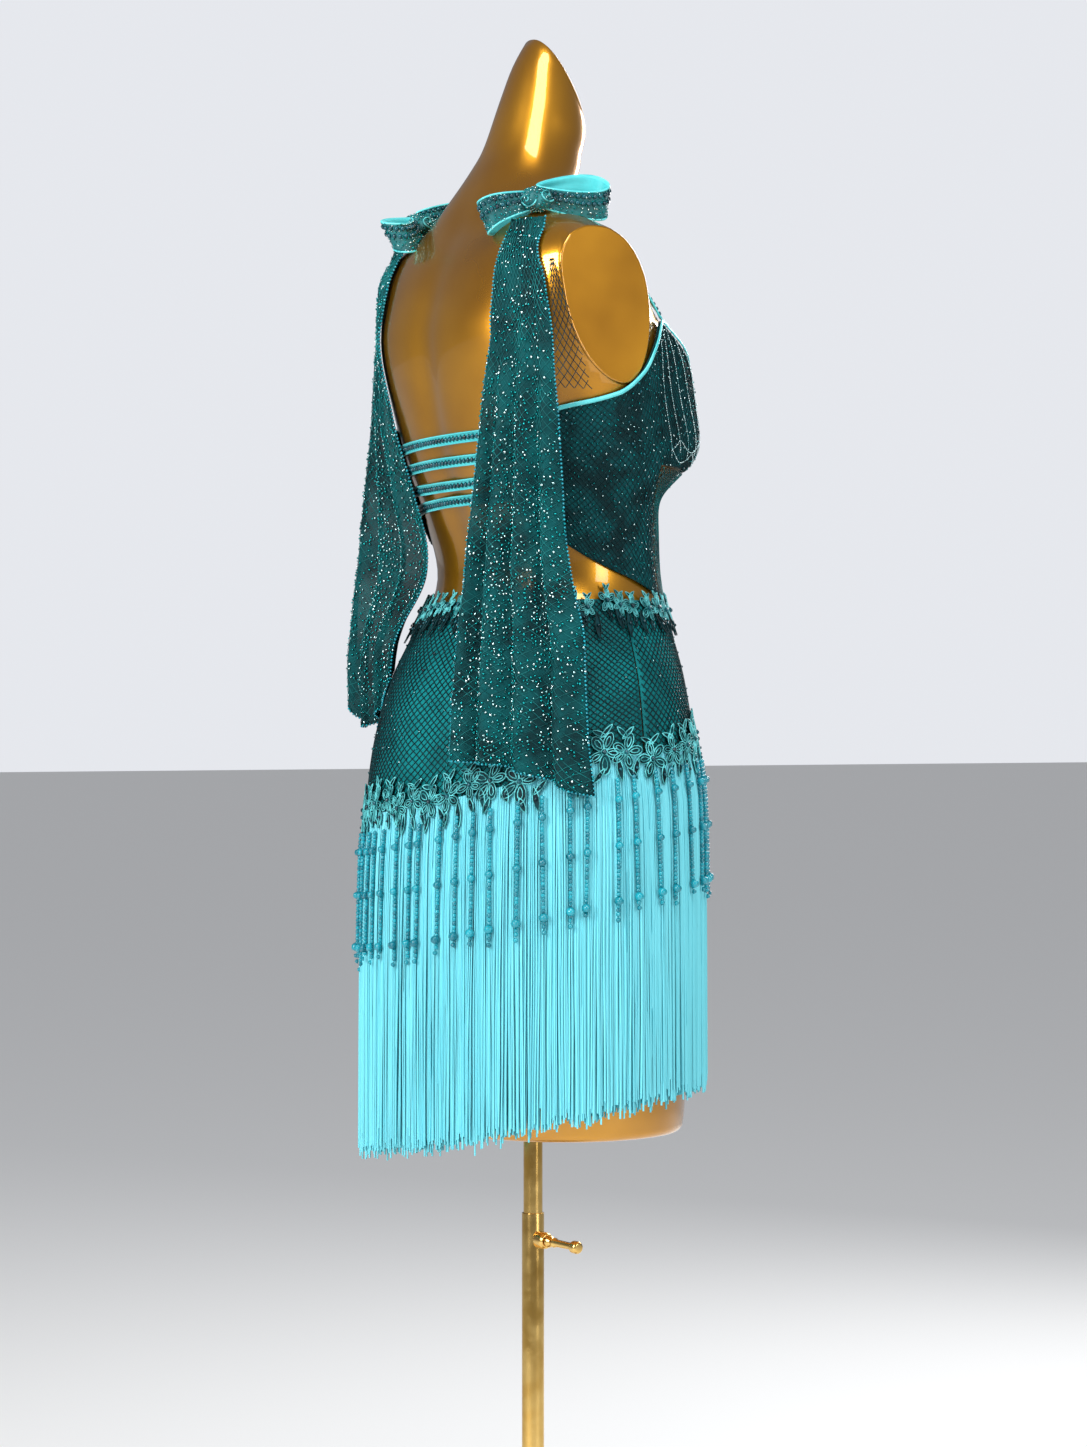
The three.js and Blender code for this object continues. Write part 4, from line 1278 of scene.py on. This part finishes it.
def lace_trim(name, node, hold, pitch, radius, drop_leaf, rise, seed, cord_radius, leaf_cord):
    """Flowers and leaves along a line: hold(along, up, lift) lays flat mm on the body."""
    luck = np.random.default_rng(seed)
    petals, lines, leaves, stones = [], [], [], []
    for k in range(round(hip_round / pitch)):
        middle = np.array([(k + luck.normal(0, 0.08)) * pitch, luck.normal(radius / 5, rise)])
        size = radius * luck.uniform(0.85, 1.15)
        outer, inner = flower(size, luck.random() * 6.3, luck)
        petals += [middle + shape for shape in outer]
        lines += [middle + shape for shape in inner]
        for way in (-0.9, 0.9):
            turned = np.pi / 2 + way + luck.normal(0, 0.2)
            petals.append(middle + leaf(radius * 0.95, radius * 0.36, turned, (way * 3, size * 0.7)))
        low = -np.pi / 2
        long = drop_leaf * luck.uniform(0.8, 1.3)
        hung = [
            leaf(long, drop_leaf * 0.42, low + luck.normal(0, 0.3), (pitch / 2, -size * 0.4)),
            leaf(radius * 0.95, radius * 0.4, low + luck.normal(0, 0.5), (0, -size * 0.8)),
        ]
        leaves += [middle + shape for shape in hung]
        stones += [middle] + [middle + shape.mean(0) for shape in hung]
    for part, thread, loops in (("cords", lace_cord, petals + lines), ("leaf_cords", leaf_cord, leaves)):
        laid = [hold(p[:, 0], p[:, 1], 0.9) for p in loops]
        cord = lines_object(f"{name}_{part}", laid, closed=True)
        grow(cord, THREADS, Radius=cord_radius * MM, Sides=4, Finish=thread)
        wear(cord, "lace")
    start, faces, points = 0, [], []
    for p in petals + leaves:
        points.append(hold(p[:, 0], p[:, 1], 0.0))
        faces.append(list(range(start, start + len(p))))
        start += len(p)
    filled = mesh_object(
        f"{name}_petals", np.concatenate(points), faces=faces, finish=lace_ground, smooth=False
    )
    thicken(filled, 0.5)
    spots = np.array(stones)
    set_at, below = hold(spots[:, 0], spots[:, 1], 1.6), hold(spots[:, 0], spots[:, 1], 0.6)
    jewels = stone_points(f"{name}_stones", set_at, set_at - below, [1.2, 0.8, 0.7] * (len(spots) // 3))
    grow(
        jewels, STONES, Radius=1.9 * MM, Height=1.5 * MM, Crown=1.1 * MM, Sides=8, Seed=seed,
        Finish=dark_stone,
    )
    wear(filled, "lace", node)
    wear(jewels, "beads")


# %% Laying the lace on the hip and the waist
def on_hip(along, up, lift):
    turn = np.interp(along % hip_round, hip_way, fine_turns)
    base = through((-27, 22), (8.4, 5.0), up)
    return hanging(turn, -up, base + lift)


def on_waist(along, up, lift):
    turn = np.interp(along % hip_round, hip_way, fine_turns)
    base = through((-40, 0, 5), (7.2, 4.8, 4.6), up - 8)
    return off(turn, WAIST - 8 + up, base + lift)


fine_turns = np.linspace(0, 360, 1441)
ring = figure(fine_turns, 930)
hip_way = np.concatenate([[0], np.cumsum(np.linalg.norm(np.diff(ring, axis=0), axis=1))])
lace_trim("lace_hip", "lace_hip", on_hip, 23.0, 15.5, 18, 4.5, 11, 0.52, lace_cord)
lace_trim("lace_waist", "lace_waist", on_waist, 20.0, 11.0, 20, 1.5, 12, 0.45, net_thread)

# %% [markdown]
# ## Straps and binding
# The satin trim is flat elastic covered in cloth, with a piped edge along each side and a
# row of set stones down the middle. Each is one section drawn across the strap and swept
# along its path on the body. The four back straps are pulled straight over the hollow of the
# spine, as a taut band is.

# %% Sweeping a section along a path
def tidied(obj):
    """Closes the seams and poles of a lofted mesh and turns its faces outwards."""
    shape = bmesh.new()
    shape.from_mesh(obj.data)
    bmesh.ops.remove_doubles(shape, verts=shape.verts, dist=1e-6)
    bmesh.ops.recalc_face_normals(shape, faces=shape.faces)
    shape.to_mesh(obj.data)
    shape.free()
    return obj


def swept(name, path, normals, section, length, finish):
    """A closed band: section is (across, lift) pairs in mm, anticlockwise."""
    ahead = np.gradient(path, axis=0)
    sides = np.cross(ahead, normals)
    sides /= np.linalg.norm(sides, axis=1, keepdims=True)
    rings = [p + np.outer([a for a, _ in section], s) + np.outer([b for _, b in section], n)
             for p, s, n in zip(path, sides, normals)]
    ends = [np.repeat(r.mean(0)[None], len(section), 0) * 0.99 + r * 0.01 for r in (rings[0], rings[-1])]
    points, faces = loft([ends[0], *rings, ends[1]])
    obj = mesh_object(name, points, faces=faces.tolist(), finish=finish)
    around = len(section)
    uv = np.stack([(faces % around) / around * 0.02, (faces // around) / len(rings) * length * MM], -1)
    obj.data.uv_layers.new(name="cloth").data.foreach_set("uv", uv.ravel())
    return tidied(obj)


def strap_section(width, thick):
    """A flat band with a rounded piping along each edge."""
    half, pipe = width / 2, 0.75
    right = [(half - 0.3, 0), (half, 0.35 * thick), (half, thick + 0.15), (half - 0.4, thick + 0.45),
             (half - 2 * pipe + 0.3, thick + 0.4), (half - 2 * pipe, thick - 0.25)]
    return right + [(-a, b) for a, b in reversed(right)]


def on_form(turns, heights, lift):
    """A path on the form, and the way out of the form at each of its points."""
    path = off(turns, heights, lift)
    normals = off(turns, heights, lift + 1) - path
    return path, normals


def stone_row(name, path, normals, lift, spacing, radius, height, sides, seed):
    """Stones at an even distance along a path."""
    way = np.concatenate([[0], np.cumsum(np.linalg.norm(np.diff(path, axis=0), axis=1))])
    at = np.arange(spacing, way[-1] - spacing / 2, spacing)
    spots = np.stack([np.interp(at, way, path[:, k]) for k in range(3)], -1)
    facing = np.stack([np.interp(at, way, normals[:, k]) for k in range(3)], -1)
    row = stone_points(name, spots + facing * lift, facing, 1.0)
    return grow(
        row, STONES, Radius=radius * MM, Height=height * MM, Crown=radius * 0.62 * MM,
        Sides=sides, Seed=seed, Finish=dark_stone,
    )


# %% Back straps
BACK_STRAPS = ((1245, 1252), (1227, 1232), (1210, 1214), (1193, 1199))
STRAP_WIDTH, STRAP_THICK, STRAP_LIFT = 9.5, 1.5, 1.4
t = np.linspace(0, 1, 64)
for k, (left, right) in enumerate(BACK_STRAPS):
    sag = 2.5 * np.sin(np.pi * t) if k == 2 else 0
    turns = 180 + (180 - SIDE_EDGE - 0.3) * (2 * t - 1)
    path, normals = on_form(turns, left + (right - left) * t - sag, STRAP_LIFT)
    path[:, 1] += 5 * np.exp(-((path[:, 0] / SPINE["wide"]) ** 2))
    length = np.linalg.norm(np.diff(path, axis=0), axis=1).sum()
    section = strap_section(STRAP_WIDTH, STRAP_THICK)
    band = swept(f"back_strap_{k + 1}_satin", path, normals, section, length, satin)
    row = stone_row(
        f"back_strap_{k + 1}_stones", path, normals, STRAP_THICK + 0.4, 4.7, 2.7, 1.6, 4, 40 + k
    )
    wear(band, "satin", f"back_strap_{k + 1}")
    wear(row, "beads")
    print("back strap", k + 1, "is", round(length), "mm long")

# %% Bindings and front straps
FOOT_X, TOP_X, FOOT_Z, TOP_Z, FRONT_WIDTH = 101, 86, 1356, 1434, 12
BINDING = [
    (2.0 * math.cos(a), 0.9 + 0.9 * math.sin(a))
    for a in np.linspace(0, 2 * np.pi, 10, endpoint=False)
]
for side, sign in (("left", 1), ("right", -1)):
    turns = sign * (1.2 + (SIDE_EDGE - 1.2) * np.linspace(0, 1, 110))
    path, normals = on_form(turns, top_edge(turns) - 1, SKIN + CLOTH_THICK + 3 * SEAM)
    length = np.linalg.norm(np.diff(path, axis=0), axis=1).sum()
    binding = swept(f"top_binding_{side}_satin", path, normals, BINDING, length, piping)
    wear(binding, "satin", f"top_binding_{side}")
    t = np.linspace(0, 1, 30)
    z = FOOT_Z + (TOP_Z - FOOT_Z) * t
    turns = turn_at(sign * (FOOT_X + (TOP_X - FOOT_X) * t), z, "front")
    path, normals = on_form(turns, z, SKIN)
    length = np.linalg.norm(np.diff(path, axis=0), axis=1).sum()
    section = strap_section(FRONT_WIDTH, CLOTH_THICK)
    strap = swept(f"front_strap_{side}_satin", path, normals, section, length, satin)
    row = stone_row(
        f"front_strap_{side}_stones", path, normals, CLOTH_THICK + 0.3, 5, 1.9, 1.5, 6, 50 + sign
    )
    wear(strap, "satin", f"front_strap_{side}")
    wear(row, "beads")
    print("front strap", side, round(length), "mm")

# %% [markdown]
# ## Bead strings on the bust
# Each cup carries strings of silver beads that fall from its top edge over the bust, and
# gather in a swag under it. They follow lines of equal turn, so they open and close with
# the curve of the body.

# %% Stringing the cups
silver_bead = varied(
    "silver_bead", "glint", (0.06, 0.26, 0.28), (0.75, 0.92, 0.92), (0.08, 0.18), 0.9
)
CUP_STRINGS = 9
for side, sign in (("left", 1), ("right", -1)):
    lines = []
    for k in range(CUP_STRINGS):
        turn = sign * (6 + 48 * k / (CUP_STRINGS - 1))
        z = np.linspace(top_edge(turn) - 4, UNDERBUST + 8 + 5 * (k % 2), 40)
        bend = sign * 2.0 * np.sin(np.linspace(0, np.pi, 40))
        lines.append(off(turn + bend, z, SKIN + 2.2))
    for k in range(2):
        turns = sign * np.linspace(8, 54, 60)
        dip = np.abs(np.sin(np.linspace(0, 3 * np.pi, 60) + k * 1.2))
        lines.append(off(turns, UNDERBUST + 14 + 9 * k - 9 * dip, SKIN + 2.4))
    strings = lines_object(f"cup_{side}_strings", lines)
    grow(
        strings, BEADS, Spacing=2.0 * MM, Radius=0.75 * MM, Stretch=(0.85, 0.85, 1.25),
        Seed=60 + sign, Finish=silver_bead,
    )
    wear(strings, "beads")


# %% [markdown]
# ## Shoulder bows
# On each shoulder the drape and the strap meet under a bow of satin ribbon. A loop is one
# strip of ribbon bent back on itself, narrow where the knot grips it. Its edges are piped and
# set with stones, and the knot is a short pleated wrap.

# %% The bows' rule
KNOT = np.array((94, 62, 1454))
KNOT_RADIUS = 9.5
LOOPS = (
    ("front", (0.17, -0.99, 0.02), (0.25, 0, 1), 68, 36, 27, 4, 8.0),
    ("back", (-0.45, 0.75, -0.34), (0.1, 0.5, 1), 42, 28, 28, 1, 8.0),
)


def unit(vector):
    return np.asarray(vector, float) / np.linalg.norm(vector)


def bow_loop(sign, run, up, length, opening, width, raised, lean):
    """place(u, v): u runs once round the loop from the knot, and v across the ribbon. Its
    outer wall leans down by `lean` mm and its inner wall up, so that its lining shows."""
    flip = np.array((sign, 1, 1))
    along = unit(run) * flip
    across = unit(np.cross(along, np.array(up) * flip)) * -sign
    stand = np.array(up) * flip
    stand = unit(stand - along * (stand @ along))
    root = KNOT * flip + along * (0 if raised > 3 else KNOT_RADIUS - 2) + (0, 0, raised)

    def place(u, v):
        angle = u * 2 * np.pi
        far = (1 - np.cos(angle)) / 2
        side = np.sin(angle) * (0.35 + 0.65 * far)
        pleat = 1.1 * np.sin(v * 5 * np.pi) * (1 - far) ** 2 + 1.2 * np.sin(3 * angle) * far
        high = width * (0.6 + 0.4 * far) * (v - 0.5) - lean * side
        parts = ((length * far, along), (opening / 2 * side + pleat, across), (high, stand))
        return root + sum(np.multiply.outer(amount, way) for amount, way in parts)

    return place


# %% Making the loops
RIBBON_STEPS = 72
for side, sign in (("left", 1), ("right", -1)):
    for k, (which, *shape) in enumerate(LOOPS):
        place = bow_loop(sign, *shape)
        width = shape[4]
        round_length = spans(place)[0]
        name = f"bow_{which}_{side}"
        middle = place(np.linspace(0, 1, 40), np.full(40, 0.5)).mean(0)
        ribbon = cloth(
            f"{name}_ribbon", place, RIBBON_STEPS, 12, (round_length, width), ribbon_net,
            looped=True, centre=middle[:2],
        )
        area = area_of(ribbon)
        ribbon.data.materials.append(satin)
        thicken(ribbon, 0.9)
        ribbon.modifiers["thickness"].offset = -1
        ribbon.modifiers["thickness"].material_offset = 1
        mark_dense(ribbon, 1.0)
        sequins = sewn_on(
            ribbon, f"{name}_sequins", sequin_foil, 2.4, 200000, 0.9, 80 + k, lift=0.5, tilt=0.5
        )
        u = np.linspace(0, 1, RIBBON_STEPS, endpoint=False)
        rims = [place(u, np.full(RIBBON_STEPS, v)) for v in (0.0, 1.0)]
        edge = lines_object(f"{name}_piping", rims, closed=True)
        grow(edge, THREADS, Radius=0.95 * MM, Sides=6, Finish=piping)
        SHEETS[name] = (ribbon, round_length, width, area, [edge, sequins])
        u = np.linspace(0.02, 0.98, 90)
        for row_at, label in ((0.56, "low"), (0.83, "high")):
            line = place(u, np.full(90, row_at))
            across = place(u, np.full(90, row_at + 0.05)) - line
            normals = np.cross(np.gradient(line, axis=0), across)
            normals /= np.linalg.norm(normals, axis=1, keepdims=True)
            normals *= np.sign((normals * (line - line.mean(0))).sum(1))[:, None]
            row = stone_row(f"{name}_stones_{label}", line, normals, 0.7, 5.2, 2.3, 1.5, 6, 70 + k)
            SHEETS[name][4].append(wear(row, "beads"))
        wear(ribbon, "satin", name)
        wear(edge, "satin")
        wear(sequins, "beads")

# %% Making the knots
KNOT_SIZE = np.array((1.35, 1.5, 1.1)) * KNOT_RADIUS
for side, sign in (("left", 1), ("right", -1)):
    turns, levels = np.meshgrid(
        np.linspace(0, 2 * np.pi, 48, endpoint=False), np.linspace(0, np.pi, 25)
    )

    def puff(turns, levels, lift=0.0):
        """A soft puff of gathered cloth: points at turns about its upright axis."""
        pleats = 1 + 0.06 * np.sin(7 * turns + 3 * levels) * np.sin(levels)
        way = np.stack(
            [np.sin(levels) * np.cos(turns), np.sin(levels) * np.sin(turns), np.cos(levels)], -1
        )
        return KNOT * (sign, 1, 1) + way * (KNOT_SIZE * pleats[..., None] + lift)

    points, faces = loft(list(puff(turns, levels)))
    knot = mesh_object(f"bow_knot_{side}_puff", points, faces=faces.tolist(), finish=ribbon_net)
    uv = np.stack([faces % 48, faces // 48], -1) * 0.0017
    knot.data.uv_layers.new(name="cloth").data.foreach_set("uv", uv.ravel())
    tidied(knot)
    mark_dense(knot, 1.0)
    sequins = sewn_on(
        knot, f"bow_knot_{side}_sequins", sequin_foil, 2.4, 200000, 0.9, 90, lift=0.4, tilt=0.5
    )
    t = np.linspace(0, 1, 60)
    swirls = []
    for start, level in ((0.3, 1.35), (1.9, 1.75), (3.4, 1.3), (5.0, 1.8)):
        reach = 0.62 * (1 - t)
        swirls.append(puff(start + reach * np.cos(9 * t) * 1.1, level + reach * np.sin(9 * t), 0.9))
    cords = lines_object(f"bow_knot_{side}_swirls", swirls)
    grow(cords, THREADS, Radius=0.75 * MM, Sides=5, Finish=lace_cord)
    wear(knot, "satin", f"bow_knot_{side}")
    wear(sequins, "beads")
    wear(cords, "lace")

# %% [markdown]
# ## Measuring each cloth
# For each sheet the size it was cut to, how it is held, what it rests on and the pieces sewn to it
# are gathered, and its size and area are printed. The size is
# measured through the middle of the cloth as it lies. The net front and the front yoke are longer
# along an edge than through the middle, so their true area is more than that size gives, by about
# 8 and 6 per cent, and the area they declare is only the size's own.

# %% Measuring the sheets
for name, (ground, width, height, area, extras) in SHEETS.items():
    if name.startswith("drape"):
        held, rests = "hung", [f"bow_knot_{name[6:]}_puff"]
    elif name.startswith("bow"):
        held, rests = "folded", [f"bow_knot_{name.split('_')[2]}_puff"]
    else:
        held, rests = "stretched", ["form_shell"]
    flat = (round(width * MM, 3), round(height * MM, 3))
    # The area's share of flat's width times length, kept between 0.3 and 1.
    cut = min(1.0, max(0.3, area / (flat[0] * flat[1])))
    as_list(rests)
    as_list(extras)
    print(name, "cut", flat, "area", round(area, 4))
